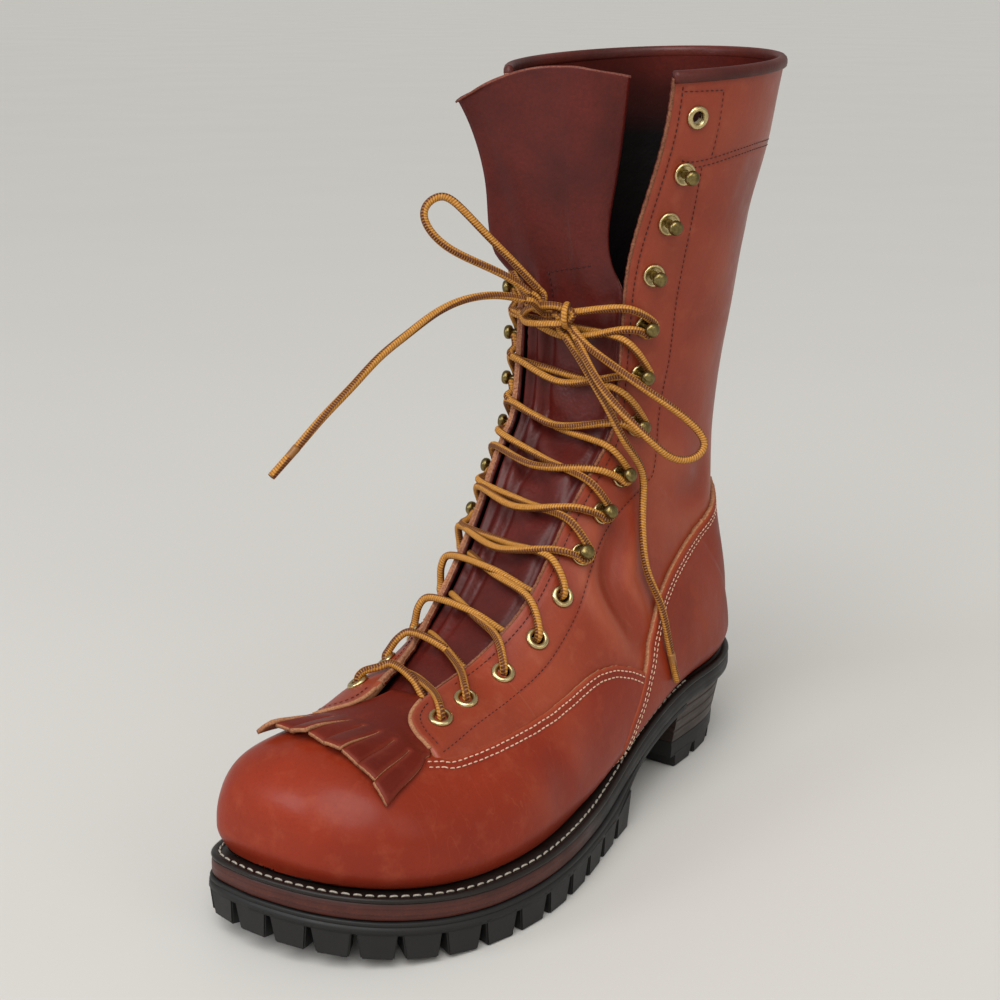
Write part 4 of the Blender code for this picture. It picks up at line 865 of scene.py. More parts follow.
ROWS = np.r_[np.linspace(0.0, 1.0, 22)[:-1]**1.4, np.arange(1.0, COLLAR_ROW, 0.065), COLLAR_ROW]
COLUMNS = np.linspace(0.0, 1.0, 61)
GRID = np.array([section(a, COLUMNS) for a in ROWS]).transpose(1, 0, 2, 3)
RUNS = np.linalg.norm(np.diff(GRID, axis=2), axis=3).sum(2)


def grid_normals(grid):
    """Outward normals of both halves of the upper's grid."""
    along = np.gradient(grid, axis=1)
    across = np.gradient(grid, axis=2)
    normals = unit(np.cross(along, across))
    normals[1] *= -1.0
    return normals


NORMALS = grid_normals(GRID)


def on_upper(a, v, side):
    """Point and outward normal on the upper at rows a and heights v."""
    a, v = np.broadcast_arrays(np.asarray(a, float), np.asarray(v, float))
    s = 0 if side > 0 else 1
    i = np.clip(np.searchsorted(ROWS, a) - 1, 0, len(ROWS) - 2)
    t = np.clip((a - ROWS[i]) / (ROWS[i + 1] - ROWS[i]), 0.0, 1.0)[..., None]
    w = np.clip(v, 0.0, 1.0) * (len(COLUMNS) - 1)
    j = np.clip(np.floor(w).astype(int), 0, len(COLUMNS) - 2)
    w = (w - j)[..., None]

    def read(source):
        """Values of a grid at the places asked for."""
        low = source[s, i, j] * (1.0 - w) + source[s, i, j + 1] * w
        high = source[s, i + 1, j] * (1.0 - w) + source[s, i + 1, j + 1] * w
        return low * (1.0 - t) + high * t

    return read(GRID), unit(read(NORMALS))


def behind_edge(a, back, side):
    """Point and normal that many millimetres behind the throat edge."""
    length = np.interp(a, ROWS, RUNS[0 if side > 0 else 1])
    return on_upper(a, 1.0 - np.asarray(back) / length, side)


def throat_centre(row):
    """Point half way between both edges of the throat."""
    return np.mean([on_upper(row, 1.0, side)[0] for side in (1, -1)], axis=0)


def away_from(p, line):
    """Distance of each point to a line in a plane, how far along the line that is, and on which side."""
    best = np.full(p.shape[:-1], 1e9)
    where = np.zeros(p.shape[:-1])
    side = np.ones(p.shape[:-1])
    for i in range(len(line) - 1):
        step = line[i + 1] - line[i]
        t = np.clip(((p - line[i]) @ step) / max(step @ step, 1e-9), 0.0, 1.0)
        gap = p - line[i] - t[..., None] * step
        d = np.linalg.norm(gap, axis=-1)
        near = d < best
        best = np.where(near, d, best)
        where = np.where(near, (i + t) / (len(line) - 1), where)
        side = np.where(near, np.sign(step[0] * gap[..., 1] - step[1] * gap[..., 0]), side)
    return best, where, side


def lie_of_leather():
    """How far creases, slack and the turn at the welt move the upper's leather out or in, on the grid."""
    move = np.zeros(GRID.shape[:3])
    for _, side, path, width, depth in CREASES:
        s = 0 if side > 0 else 1
        d, k, _ = away_from(GRID[s][..., 1:], smooth_line(path, 40))
        fade = np.sin(np.clip(k, 0.03, 0.97) * math.pi)**0.6
        trough = -np.exp(-(d / width)**2)
        lip = 0.5 * np.exp(-((d - 1.9 * width) / (0.9 * width))**2)
        move[s] += depth * (trough + lip) * fade
    x, y, z = np.moveaxis(GRID, -1, 0)
    slack = np.sin(x / 13.0 + z / 17.0 + 0.6) * np.sin(y / 19.0 - z / 23.0)
    slack += 0.6 * np.sin(y / 9.0 + z / 31.0 + x / 27.0)
    reach = smooth_step(4.3, 6.0, ROWS)[None, :, None] * smooth_step(1.0, 0.8, COLUMNS)[None, None, :]
    hold = 1.0 - 0.8 * smooth_step(16.0, COLLAR_ROW, ROWS)[None, :, None]
    above = z - seat(y)
    turned_in = WELT_TURN * (1.0 - smooth_step(0.0, 10.0, above))
    return (move + 0.28 * slack * reach) * hold * smooth_step(0.0, 12.0, above) - turned_in


LIE = lie_of_leather()
shared_back = ROWS >= HEEL_ROW
LIE[:, shared_back, 0] = LIE[:, shared_back, 0].mean(0)
GRID = GRID + NORMALS * LIE[..., None]
NORMALS = grid_normals(GRID)


def upper_sheet():
    """The upper's outside, open at collar, throat and sole, as one sheet."""
    points, marks = [], []
    index = np.zeros((2, len(ROWS), len(COLUMNS)), int)
    for i, a in enumerate(ROWS):
        for s, side in enumerate((1.0, -1.0)):
            for j, v in enumerate(COLUMNS):
                at_ridge = j == len(COLUMNS) - 1 and a <= THROAT_ROW
                at_back = j == 0 and a >= HEEL_ROW
                if i == 0 and (s or j):
                    index[s, i, j] = index[0, 0, 0]
                elif s == 1 and (at_ridge or at_back):
                    index[s, i, j] = index[0, i, j]
                else:
                    index[s, i, j] = len(points)
                    points.append(GRID[s, i, j])
                    marks.append((a, v, side))
    faces = []
    for s in range(2):
        p, q = index[s, :-1, :-1].ravel(), index[s, 1:, :-1].ravel()
        r, t = index[s, 1:, 1:].ravel(), index[s, :-1, 1:].ravel()
        both = np.vstack([np.c_[p, q, r], np.c_[p, r, t]])
        both = both[(both[:, 0] != both[:, 1]) & (both[:, 1] != both[:, 2]) & (both[:, 2] != both[:, 0])]
        faces.append(both if s == 0 else both[:, ::-1])
    return Sheet(points, np.vstack(faces), marks)


def counter_field(sheet):
    """Distance inside the counter's edge."""
    d, _, side = away_from(sheet.points[:, 1:], smooth_line(COUNTER_EDGE, 160))
    return np.where(sheet.points[:, 1] > -10.0, -side * d, -60.0)


def vamp_field(sheet):
    """Distance inside the vamp: under its edge and ahead of the eyestay, up to just under the counter."""
    a, v = sheet.marks[:, 0], sheet.marks[:, 1]
    d, _, side = away_from(sheet.points[:, 1:], smooth_line(VAMP_EDGE, 160))
    under_edge = np.where(a > 4.0, -side * d, 60.0)
    tab_row = np.interp(v, column(TAB_EDGE, 1)[::-1], column(TAB_EDGE, 0)[::-1])
    ahead = 28.0 * np.minimum(tab_row + 0.1 - a, 4.7 - a)
    return np.minimum(np.maximum(under_edge, ahead), 1.6 - counter_field(sheet))


def strap_field(sheet):
    """Positive on the strap at the back, under the collar."""
    return np.minimum(0.15 - sheet.marks[:, 1], 0.15 * (sheet.marks[:, 0] - 15.8)) * 100.0


def tab_distance(a, v):
    """Distance inside the eyestay's front outline, in about millimetres."""
    scale = np.array((27.0, 95.0))
    d, _, side = away_from(np.stack([a, v], -1) * scale, smooth_line(TAB_EDGE, 160) * scale)
    return side * d


def tab_rise(a, v):
    """Height of the eyestay's front over the upper's own surface."""
    low = 0.25 + 0.75 * smooth_step(0.59, 0.74, v)
    return 0.12 + TAB_HEIGHT * (1.0 - smooth_step(4.8, 6.0, a)) * low


def tab_field(sheet):
    """Distance inside the eyestay's front, which overlaps the vamp a little."""
    a, v = sheet.marks[:, 0], sheet.marks[:, 1]
    d, _, side = away_from(sheet.points[:, 1:], smooth_line(VAMP_EDGE, 160))
    over_vamp = np.where(a > 3.9, side * d + 0.6, -60.0)
    return np.minimum(np.minimum(tab_distance(a, v), 27.0 * (6.05 - a)), over_vamp)


def shifted(path, normals, across, toward):
    """The line moved sideways on the surface, towards a point on it for positive sizes."""
    along = unit(np.gradient(path, axis=0))
    sideways = unit(np.cross(normals, along))
    sign = np.sign(np.sum(sideways * (np.asarray(toward) - path), axis=1).mean())
    return path + sign * across * sideways


def stitch_row(path, normals, length, gap, thick, sink=0.35, wobble=0.0):
    """Row of stitches: flat-ended grains of thread along a path."""
    run = run_along(path)
    count = int(run[-1] / (length + gap))
    ring = [(math.cos(t), math.sin(t)) for t in np.linspace(0.0, 2.0 * math.pi, 7)[:-1]]
    # place along the stitch, thickness and drop, as shares
    stations = ((-0.5, 0.35, -0.9), (-0.40, 0.85, -0.25), (-0.15, 1.0, 0.0), (0.15, 1.0, 0.0),
                (0.40, 0.85, -0.25), (0.5, 0.35, -0.9))

    def at(s, values):
        """Place or normal that far along the path."""
        return np.array([np.interp(s, run, values[:, c]) for c in range(3)])

    bodies = []
    for k in range(count):
        s = (k + 0.5) * run[-1] / count
        ends = [at(s + d, path) for d in (-0.5 * length, 0.5 * length)]
        n = unit(at(s, normals))
        along = unit(ends[1] - ends[0])
        across = np.cross(n, along)
        along = unit(along + across * wobble * math.sin(2.4 * k + s))
        middle = 0.5 * (ends[0] + ends[1])
        points = []
        for place, size, drop in stations:
            core = middle + along * (place * length) + n * (thick * (0.5 - sink + 0.5 * drop))
            wide, tall = 0.5 * thick * size, 0.42 * thick * size
            points += [core + across * (wide * cx) + n * (tall * cz) for cx, cz in ring]
        bodies.append((points, rod_faces(len(ring), len(stations))))
    return bodies


def edge_ring(profile):
    """Ring round the sole through a profile of (inset, depth under the welt's top), closed on itself."""
    loops = [(inset_loop(LOOP, inset), depth) for inset, depth in profile]
    points = [np.c_[loop, seat(loop[:, 1]) - depth] for loop, depth in loops]
    return np.vstack(points), ring_faces(len(LOOP), len(profile))


def under(depth):
    """Height function: that far under the welt's top."""
    return lambda y: seat(y) - depth


def level(z):
    """Height function: level over the floor."""
    return lambda y: np.full_like(np.asarray(y, float), z)


def stack(levels, front, stations):
    """Solid through levels of (inset, height function), with a flat front face."""
    rings = []
    for inset, height in levels:
        loop = inset_loop(LOOP, inset)
        back = loop[:, 1].max() - 0.02
        y = front + (back - front) * stations
        lateral, medial = loop_sides(loop, y)
        rings.append(np.vstack([np.c_[lateral, y, height(y)], np.c_[medial, y, height(y)][::-1]]))
    return np.vstack(rings), slab_faces(len(rings[0]), len(rings))


def block(corners_top, corners_bottom):
    """Eight-cornered lug."""
    points = np.vstack([corners_top, corners_bottom])
    faces = [(0, 1, 2, 3), (7, 6, 5, 4)]
    faces += [(i, (i + 1) % 4, 4 + (i + 1) % 4, 4 + i)[::-1] for i in range(4)]
    return points, faces


def edge_lugs(loop, begin, end, pitch, inward, top, bottom):
    """Lugs along an open stretch of a loop, narrower at the tread than at the root."""
    run = run_along(loop)
    count = int(round((end - begin) / pitch))
    pitch = (end - begin) / count
    inner = inset_loop(loop, inward)

    def at(path, s):
        """Point that far along the loop."""
        return np.array([np.interp(s, run, path[:, 0]), np.interp(s, run, path[:, 1])])

    lugs = []
    for k in range(count):
        s0, s1 = begin + k * pitch, begin + (k + 1) * pitch
        corners = []
        for trim, sink in ((0.7, 0.0), (0.13 * pitch, 1.2)):
            a, b = at(loop, s0 + trim), at(loop, s1 - trim)
            c, d = at(inner, s1 - trim), at(inner, s0 + trim)
            a, b = a + (d - a) / inward * sink, b + (c - b) / inward * sink
            rows = np.array([a, b, c, d])
            corners.append(np.c_[rows, (top if sink == 0.0 else bottom)(rows[:, 1])])
        lugs.append(block(*corners))
    return lugs


def soften(made, offset, angle=30.0):
    """Rounds the sharp edges of a piece."""
    work = bmesh.new()
    work.from_mesh(made.data)
    bmesh.ops.recalc_face_normals(work, faces=work.faces)
    sharp = [e for e in work.edges if len(e.link_faces) == 2 and e.calc_face_angle(0.0) > math.radians(angle)]
    bmesh.ops.bevel(work, geom=sharp, offset=offset * MM, segments=2, affect="EDGES", clamp_overlap=True)
    work.to_mesh(made.data)
    work.free()
    return made


def lathe(origin, axis, profile, segments):
    """Turned body; profile is (radius, height) pairs, closed on itself unless it ends on the axis."""
    axis = unit(axis)
    side = unit(np.cross(axis, (0.0, 0.0, 1.0)))
    up = np.cross(axis, side)
    turn = np.linspace(0.0, 2.0 * math.pi, segments, endpoint=False)
    points = [origin + axis * h + max(r, 0.01) * (math.cos(t) * side + math.sin(t) * up)
              for r, h in profile for t in turn]
    on_axis = profile[0][0] < 0.05
    return points, (rod_faces if on_axis else ring_faces)(segments, len(profile))


def round_path(points, step=1.1):
    """Even path along a centripetal curve through given points."""
    p = np.asarray(points, float)
    p = np.vstack([2.0 * p[0] - p[1], p, 2.0 * p[-1] - p[-2]])
    knots = np.r_[0.0, np.cumsum(np.sqrt(np.linalg.norm(np.diff(p, axis=0), axis=1)))]
    out = []
    for i in range(1, len(p) - 2):
        t0, t1, t2, t3 = knots[i - 1:i + 3]
        t = np.linspace(t1, t2, 24, endpoint=False)[:, None]
        a1 = (t1 - t) / (t1 - t0) * p[i - 1] + (t - t0) / (t1 - t0) * p[i]
        a2 = (t2 - t) / (t2 - t1) * p[i] + (t - t1) / (t2 - t1) * p[i + 1]
        a3 = (t3 - t) / (t3 - t2) * p[i + 1] + (t - t2) / (t3 - t2) * p[i + 2]
        b1 = (t2 - t) / (t2 - t0) * a1 + (t - t0) / (t2 - t0) * a2
        b2 = (t3 - t) / (t3 - t1) * a2 + (t - t1) / (t3 - t1) * a3
        out.append((t2 - t) / (t2 - t1) * b1 + (t - t1) / (t2 - t1) * b2)
    return even_path(np.vstack(out + [p[-2:-1]]), step)


def tube(path, radius, sides=12):
    """Closed round cord along a path, with the distance along it and the turn around it at each point."""
    path = np.asarray(path, float)
    along = unit(np.gradient(path, axis=0))
    run = run_along(path)
    radius = np.broadcast_to(np.asarray(radius, float), len(path))
    normal = np.cross(along[0], (0.3, 0.5, 0.8))
    points, far, sine, cosine = [], [], [], []
    for p, d, s, r in zip(path, along, run, radius):
        normal = unit(normal - d * np.dot(normal, d))
        other = np.cross(d, normal)
        for k in range(sides):
            t = 2.0 * math.pi * k / sides
            points.append(p + r * (math.cos(t) * normal + math.sin(t) * other))
            far.append(s)
            sine.append(math.sin(t))
            cosine.append(math.cos(t))
    return points, rod_faces(sides, len(path)), {"along": far, "turn_sine": sine, "turn_cosine": cosine}


def rim_lines(sheet, wanted, smooth=5):
    """Runs of a cut sheet's rim where wanted(points, marks) holds, as smooth lines with normals."""
    ahead = dict(sheet.rim())
    good = wanted(sheet.points, sheet.marks)
    ahead = {i: j for i, j in ahead.items() if good[i] and good[j]}
    heads = [i for i in ahead if i not in set(ahead.values())]
    lines = []
    for i in heads:
        run = [i]
        while run[-1] in ahead and len(run) < 5000:
            run.append(ahead[run[-1]])
        if len(run) > 12:
            both = even_path(np.c_[sheet.points[run], sheet.normals[run]], 0.8)
            for _ in range(smooth):
                both[1:-1] = 0.25 * both[:-2] + 0.5 * both[1:-1] + 0.25 * both[2:]
            lines.append((both[:, :3], unit(both[:, 3:])))
    return lines


def stitches_on(store, path, normals, *thread_size, **more):
    """Sews a row along a path and keeps the path as a seam."""
    SEAMS.append(path)
    store += stitch_row(path, normals, *thread_size, **more)


def on_vamp_edge(p, m):
    """Rim of the vamp along its upper edge, up to the counter."""
    return (m[:, 0] > 4.02) & (away_from(p[:, 1:], smooth_line(VAMP_EDGE, 160))[0] < 0.8) & (p[:, 1] < 34.0)


def on_counter_edge(p, m):
    """Rim of the counter clear of the welt."""
    return p[:, 2] > seat(p[:, 1]) + 4.0


def on_tab_edge(p, m):
    """Rim of the eyestay's front from the throat to the vamp's edge."""
    return (m[:, 0] < 5.4) & (tab_distance(m[:, 0], m[:, 1]) < 0.5) & (m[:, 1] > 0.72)


UPPER = upper_sheet()
VAMP = UPPER.cut(vamp_field(UPPER))
COUNTER = UPPER.cut(counter_field(UPPER))
STRAP = UPPER.cut(strap_field(UPPER))
EYESTAY = UPPER.cut(tab_field(UPPER))
SEAMS, WHITE, DARK, TAB_RIMS = [], [], [], []
VAMP_TOP = GAP + OVERLAY
COUNTER_TOP = GAP + OVERLAY + 0.5
STRAP_TOP = GAP + 2.2

# seams: white rows on vamp and counter, dark rows on eyestay, facing and top band
for path, n in rim_lines(VAMP, on_vamp_edge):
    if path[0, 1] > path[-1, 1]:
        path, n = path[::-1], n[::-1]
    # both rows run on to the kiltie, past the end of the panel's edge
    ahead = unit(path[0] - path[6]) * np.linspace(8.0, 0.4, 20)[:, None]
    path = np.vstack([path[0] + ahead, path])
    n = np.vstack([np.repeat(n[:1], 20, axis=0), n])
    for across in VAMP_SEAMS:
        stitches_on(WHITE, shifted(path + n * VAMP_TOP, n, across, (0.0, -60.0, 20.0)), n, *VAMP_STITCH)
for path, n in rim_lines(COUNTER, on_counter_edge):
    for across in COUNTER_SEAMS:
        row = shifted(path + n * COUNTER_TOP, n, across, (0.5, 120.0, 60.0))
        stitches_on(WHITE, row, n, *COUNTER_STITCH, wobble=0.2)
for side in (1, -1):
    rows = np.linspace(5.35, 16.85, 900)
    path, n = behind_edge(rows, THROAT_SEAM, side)
    stitches_on(DARK, path + n * tab_rise(rows, 0.95)[:, None], n, *THROAT_STITCH)
    line = smooth_line(FACING_SEAM, 900)
    path, n = on_upper(*line.T, side)
    stitches_on(DARK, path + n * tab_rise(*line.T)[:, None], n, *FACING_STITCH)
    path, n = on_upper(*smooth_line(BAND_SEAM, 300).T, side)
    for across in BAND_SEAMS:
        stitches_on(DARK, shifted(path, n, across, (0.0, 90.0, 200.0)), n, *BAND_STITCH)
    # round the top eyelet: up behind it and forward over it, as (row, distance behind the edge)
    corner = np.vstack([np.c_[np.linspace(15.75, 16.72, 80), np.full(80, 25.0)],
                        np.c_[np.full(80, 16.74), np.linspace(24.6, 4.5, 80)]])
    path, n = behind_edge(*corner.T, side)
    stitches_on(DARK, path, n, *CORNER_STITCH)
for path, n in rim_lines(EYESTAY, on_tab_edge):
    side = 1.0 if path[:, 0].mean() > -8.0 else -1.0
    inner = shifted(path + n * (TAB_HEIGHT + 0.1), n, TAB_SEAM, on_upper(4.8, 0.72, side)[0])
    stitches_on(DARK, inner, n, *BAND_STITCH)
    TAB_RIMS.append(tube(even_path(path + n * (TAB_HEIGHT - 0.45), 1.0), 0.95, 8)[:2])


def leather_marks(sheet, lift, rim=()):
    """Distances to seams and to the rim, folds and rubbed spots, for the leather's colour and relief."""
    points = sheet.points + sheet.normals * lift
    toe_rub = np.exp(-(((points - (38.0, -70.0, 50.0)) / (26.0, 45.0, 24.0))**2).sum(1))
    side_rub = np.exp(-(((points - (40.0, 20.0, 90.0)) / (26.0, 40.0, 40.0))**2).sum(1))
    return {"seam": nearest(points, SEAMS), "fold": fold_of(sheet),
            "edge": nearest(points, [points[list(rim)]]) if rim else np.full(len(points), FAR),
            "rubbed": np.clip(0.15 + 0.85 * toe_rub + 0.35 * side_rub, 0.0, 1.0)}


def fold_of(sheet):
    """Crease depth at a sheet's points, from the grid."""
    out = np.zeros(len(sheet.points))
    for s, side in enumerate((1.0, -1.0)):
        mine = sheet.marks[:, 2] * side >= 0.0
        a, v = sheet.marks[mine, 0], sheet.marks[mine, 1]
        i = np.clip(np.searchsorted(ROWS, a), 0, len(ROWS) - 1)
        out[mine] = LIE[s, i, np.clip(np.round(v * (len(COLUMNS) - 1)).astype(int), 0, len(COLUMNS) - 1)]
    return out


def panel(name, sheet, low, high, leather, slot, stands_for=()):
    """Leather panel laid over the upper, with its cut edge."""
    points, faces, kinds = sheet.shell(low, high, 0.5)
    marks = leather_marks(sheet, float(np.max(high)), [i for i, j in sheet.rim()])
    double = {key: np.r_[values, values] for key, values in marks.items()}
    return piece(name, points, faces, (leather, CUT_EDGE, CUT_EDGE), slot, stands_for, kinds, double)


# the quarters and the shaft, with their lining a wall's thickness inside
HOLES = np.array([behind_edge(row, EDGE_TO_HOOK, side)[0]
                  for _, lateral_row, medial_row, kind in FITTINGS if kind == "eyelet"
                  for side, row in ((1, lateral_row), (-1, medial_row))])
from_hole = nearest(UPPER.points, [HOLES], 300.0)
QUARTER = UPPER.cut(from_hole - 3.4)
piece("quarter_leather", QUARTER.points, QUARTER.faces.tolist(), (UPPER_LEATHER,), "red_leather", ("upper",),
      marks=leather_marks(QUARTER, 0.0))
INSIDE = UPPER.cut(from_hole - 3.6)
lining = INSIDE.points - INSIDE.normals * WALL
lining[:, 2] = np.maximum(lining[:, 2], seat(lining[:, 1]) + 0.1)
# depth under the collar, which darkens the lining as painted shade
piece("shaft_lining", lining, INSIDE.faces[:, ::-1].tolist(), (LINING_LEATHER,), "red_leather",
      marks={"depth": HEIGHT - lining[:, 2]})


# out over the edge, along the normal: leather, then lining, with a round over
LATERAL_EDGE = ((-0.6, 0.12), (0.4, 0.0), (0.75, -0.3), (0.7, -0.9), (0.3, -1.2), (0.5, -1.5), (0.6, -2.1),
                (0.3, -2.75), (-0.6, -2.9), (-0.8, -1.2))
# turned up by the laces, so that the cut edge stands
MEDIAL_EDGE = ((-2.6, 0.1), (-1.2, 0.5), (0.0, 1.0), (0.8, 1.2), (1.3, 0.7), (1.3, -0.2), (1.0, -0.7),
               (1.2, -1.1), (1.1, -1.9), (0.6, -2.5), (-0.8, -2.6), (-1.0, -0.6))


def throat_edge(side, profile, leather_to, tone):
    """Cut edge of the facing along the throat: its tone up to a point of the profile, then the lining's."""
    rows = np.linspace(5.0, 16.98, 480)
    p, n = behind_edge(rows, 0.0, side)
    over = unit(p - behind_edge(rows, 2.0, side)[0])
    p = p + n * (tab_rise(rows, 1.0) - 0.12)[:, None]
    rough = 0.10 * np.sin(rows * 31.0) + 0.08 * np.sin(rows * 83.0 + 1.0)
    if side < 0:
        rough = 2.0 * rough + 0.35 * np.sin(rows * 6.1) + 0.3 * np.sin(rows * 13.7 + 2.0)
    points = [a + o * (x + (r if x > 0.0 else 0.0)) + m * y
              for a, o, m, r in zip(p, over, n, rough) for x, y in profile]
    faces = rod_faces(len(profile), len(rows))
    kinds = [tone if k % len(profile) < leather_to else 2 for k in range(len(faces) - 2)] + [tone, tone]
    return points, faces, kinds


EDGES = [throat_edge(1, LATERAL_EDGE, 4, 0), throat_edge(-1, MEDIAL_EDGE, 7, 1)]
face_out(piece("throat_edges", *gather([edge[:2] for edge in EDGES]),
               (DARK_EDGE, FACING_EDGE, BINDING_LEATHER), "red_leather", kinds=EDGES[0][2] + EDGES[1][2]))

# the vamp is thinner where it runs under the eyestay's front
under_tab = smooth_step(0.63, 0.74, VAMP.marks[:, 1]) * smooth_step(3.7, 3.9, VAMP.marks[:, 0])
vamp_height = 0.65 + (VAMP_TOP - 0.65) * (1.0 - under_tab)
panel("vamp_panel", VAMP, UNDER_PANEL, vamp_height, VAMP_LEATHER, "vamp_leather", ("vamp",))
panel("counter_panel", COUNTER, UNDER_PANEL, COUNTER_TOP, COUNTER_LEATHER, "counter_leather", ("counter",))
panel("back_strap", STRAP, UNDER_PANEL, STRAP_TOP, STRAP_LEATHER, "strap_leather", ("pull_strap",))
panel("eyestay_front", EYESTAY, -0.3, tab_rise(*EYESTAY.marks[:, :2].T), UPPER_LEATHER, "red_leather")

face_out(piece("eyestay_rims", *gather(TAB_RIMS), (CUT_EDGE,), "red_leather"))
piece("white_stitches", *gather(WHITE), (WHITE_THREAD,), "vamp_leather")
piece("dark_stitches", *gather(DARK), (DARK_THREAD,), "red_leather")


def collar_binding():
    """Rolled edge over the collar's rim."""
    lateral, medial = (on_upper(COLLAR_ROW, np.linspace(0.0, 1.0, 90), side)[0] for side in (1, -1))
    rim = np.vstack([lateral[::-1], medial[1:]])
    outward = unit(np.cross(np.gradient(rim, axis=0), (0.0, 0.0, 1.0)))
    if np.sum((rim - rim.mean(axis=0)) * outward) < 0.0:
        outward = -outward
    profile = ((0.3, -2.2), (0.95, -1.9), (1.2, -0.6), (1.2, 0.8), (0.8, 2.0), (-0.1, 2.8), (-1.0, 3.0),
               (-2.0, 2.8), (-2.8, 2.0), (-3.1, 0.7), (-3.0, -1.0), (-2.8, -2.2), (-2.2, -2.5),
               (-1.2, -2.5), (-0.4, -2.4))
    puff = 1.0 + 0.05 * np.sin(np.arange(len(rim)) * 0.9) + 0.04 * np.sin(np.arange(len(rim)) * 0.37 + 1.0)
    points = [p + o * (x * k if x > 0 else x) + np.array((0.0, 0.0, y))
              for p, o, k in zip(rim, outward, puff) for x, y in profile]
    return points, rod_faces(len(profile), len(rim))


face_out(piece("collar_roll", *collar_binding(), (BINDING_LEATHER,), "binding_leather", ("collar_binding",)))


def bump(x, width):
    """Round hump of height 1 at 0."""
    return math.exp(-(x / width)**2)


def tongue_folds(a, share):
    """Height of the tongue's folds: grooves by the facings, a fold beside the middle, slack at the instep."""
    folds = -2.2 * bump(abs(share) - 0.84, 0.08)
    folds += 1.9 * bump(share + 0.64 - 0.05 * math.sin(0.9 * a), 0.09)
    folds -= 2.0 * bump(share + 0.44 - 0.05 * math.sin(0.8 * a + 1.0), 0.09)
    folds += 0.6 * bump(share - 0.5 - 0.08 * math.sin(0.8 * a + 2.0), 0.2)
    wander = 1.2 * math.sin(3.0 * share + 0.7 * a)
    slack = 1.9 * bump(a - 10.0, 1.5) * math.sin(4.4 * a + 2.6 * share + wander)
    slack += 0.7 * bump(a - 12.4, 0.8) * math.sin(2.9 * a - 2.0 * share)
    held = 1.0 - smooth_step(0.95, 1.05, abs(share))
    return smooth_step(5.6, 7.6, a) * held * (folds + slack * (1.0 - smooth_step(0.6, 0.85, abs(share))))


def tongue_lattice(across=57, count=150):
    """Tongue in the throat: tucked under both edges, folded at its sides, flared above the bow."""
    at = np.linspace(0.0, len(TONGUE_ROWS) - 1.0, count)
    table = [natural_spline(column(TONGUE_ROWS, k), at) for k in range(1, 10)]
    rows = []
    for a, lateral, medial, fore_lateral, fore_middle, fore_medial, bulge, crest, drop in zip(*table):
        row = min(a, COLLAR_ROW - 0.1)
        edges = []
        for side in (1, -1):
            p, n = behind_edge(row, 0.3, side)
            edges.append(p - n * TONGUE_UNDER)
        middle = 0.5 * (edges[0] + edges[1])
        gap = 0.5 * np.linalg.norm(edges[0] - edges[1])
        sideways = unit(edges[0] - edges[1])
        ahead, astern = (throat_centre(r) for r in (min(row + 0.1, COLLAR_ROW), row - 0.1))
        out = unit(np.cross(ahead - astern, sideways))
        out = -out if out[1] > 0.0 else out
        flat = 1.0 - smooth_step(13.0, 14.0, a)
        points = []
        for t in np.linspace(1.0, -1.0, across):
            side = 1 if t > 0.0 else -1
            x = t * (lateral if t > 0.0 else medial)
            tuck = max(abs(x) - gap, 0.0)
            fore = fore_middle + (fore_lateral - fore_middle) * max(t, 0.0)**2
            fore += (fore_medial - fore_middle) * max(-t, 0.0)**1.3
            lift = bulge * (1.0 - (x / max(gap, abs(x), 1.0))**2)
            height = crest * (1.0 - t * t) + 0.2 * crest * max(t, 0.0) - drop * max(-t, 0.0)**2
            free = middle + sideways * x + out * lift + np.array((0.0, -max(fore, 0.0), height))
            if tuck > 0.0 and flat > 0.0:
                p, n = behind_edge(row, tuck, side)
                free = free * (1.0 - flat) + (p - n * TONGUE_UNDER) * flat
            droop = (1.0 - flat) * (0.5 * math.sin(9.0 * t + 0.9 * a) + 1.6 * math.sin(2.6 * t + 0.5))
            points.append(free + out * (flat * tongue_folds(a, x / max(gap, 1.0)) + droop))
        rows.append(points)
    return rows


TONGUE_LATTICE = tongue_lattice()
TONGUE = strip_sheet(TONGUE_LATTICE)
tongue_points, tongue_faces, tongue_kinds = TONGUE.shell(-1.4, 0.0, 0.3)
piece("tongue_leather", tongue_points, tongue_faces, (TONGUE_LEATHER, TONGUE_EDGE, TONGUE_LEATHER),
      "tongue_leather", ("tongue",), tongue_kinds)
# box of stitches on the tongue over the knot, by rows and columns of its lattice
BOX = np.array(((104.0, 38.2), (111.0, 38.0), (112.0, 29.0), (113.0, 13.0)))
box_row, box_column = (np.interp(np.linspace(0.0, 3.0, 240), np.arange(4), BOX[:, c]) for c in (0, 1))


def on_lattice(values):
    """Values of the tongue's lattice read along the box of stitches."""
    grid = np.asarray(values).reshape(np.shape(TONGUE_LATTICE))
    i, j = box_row.astype(int), box_column.astype(int)
    s, t = (box_row - i)[:, None], (box_column - j)[:, None]
    low, high = (grid[k, j] * (1.0 - t) + grid[k, j + 1] * t for k in (i, i + 1))
    return low * (1.0 - s) + high * s


BOX_STITCHES = stitch_row(on_lattice(TONGUE.points), unit(on_lattice(TONGUE.normals)), *TONGUE_STITCH,
                          sink=0.2)
piece("tongue_stitches", *gather(BOX_STITCHES), (DARK_THREAD,), "tongue_leather")


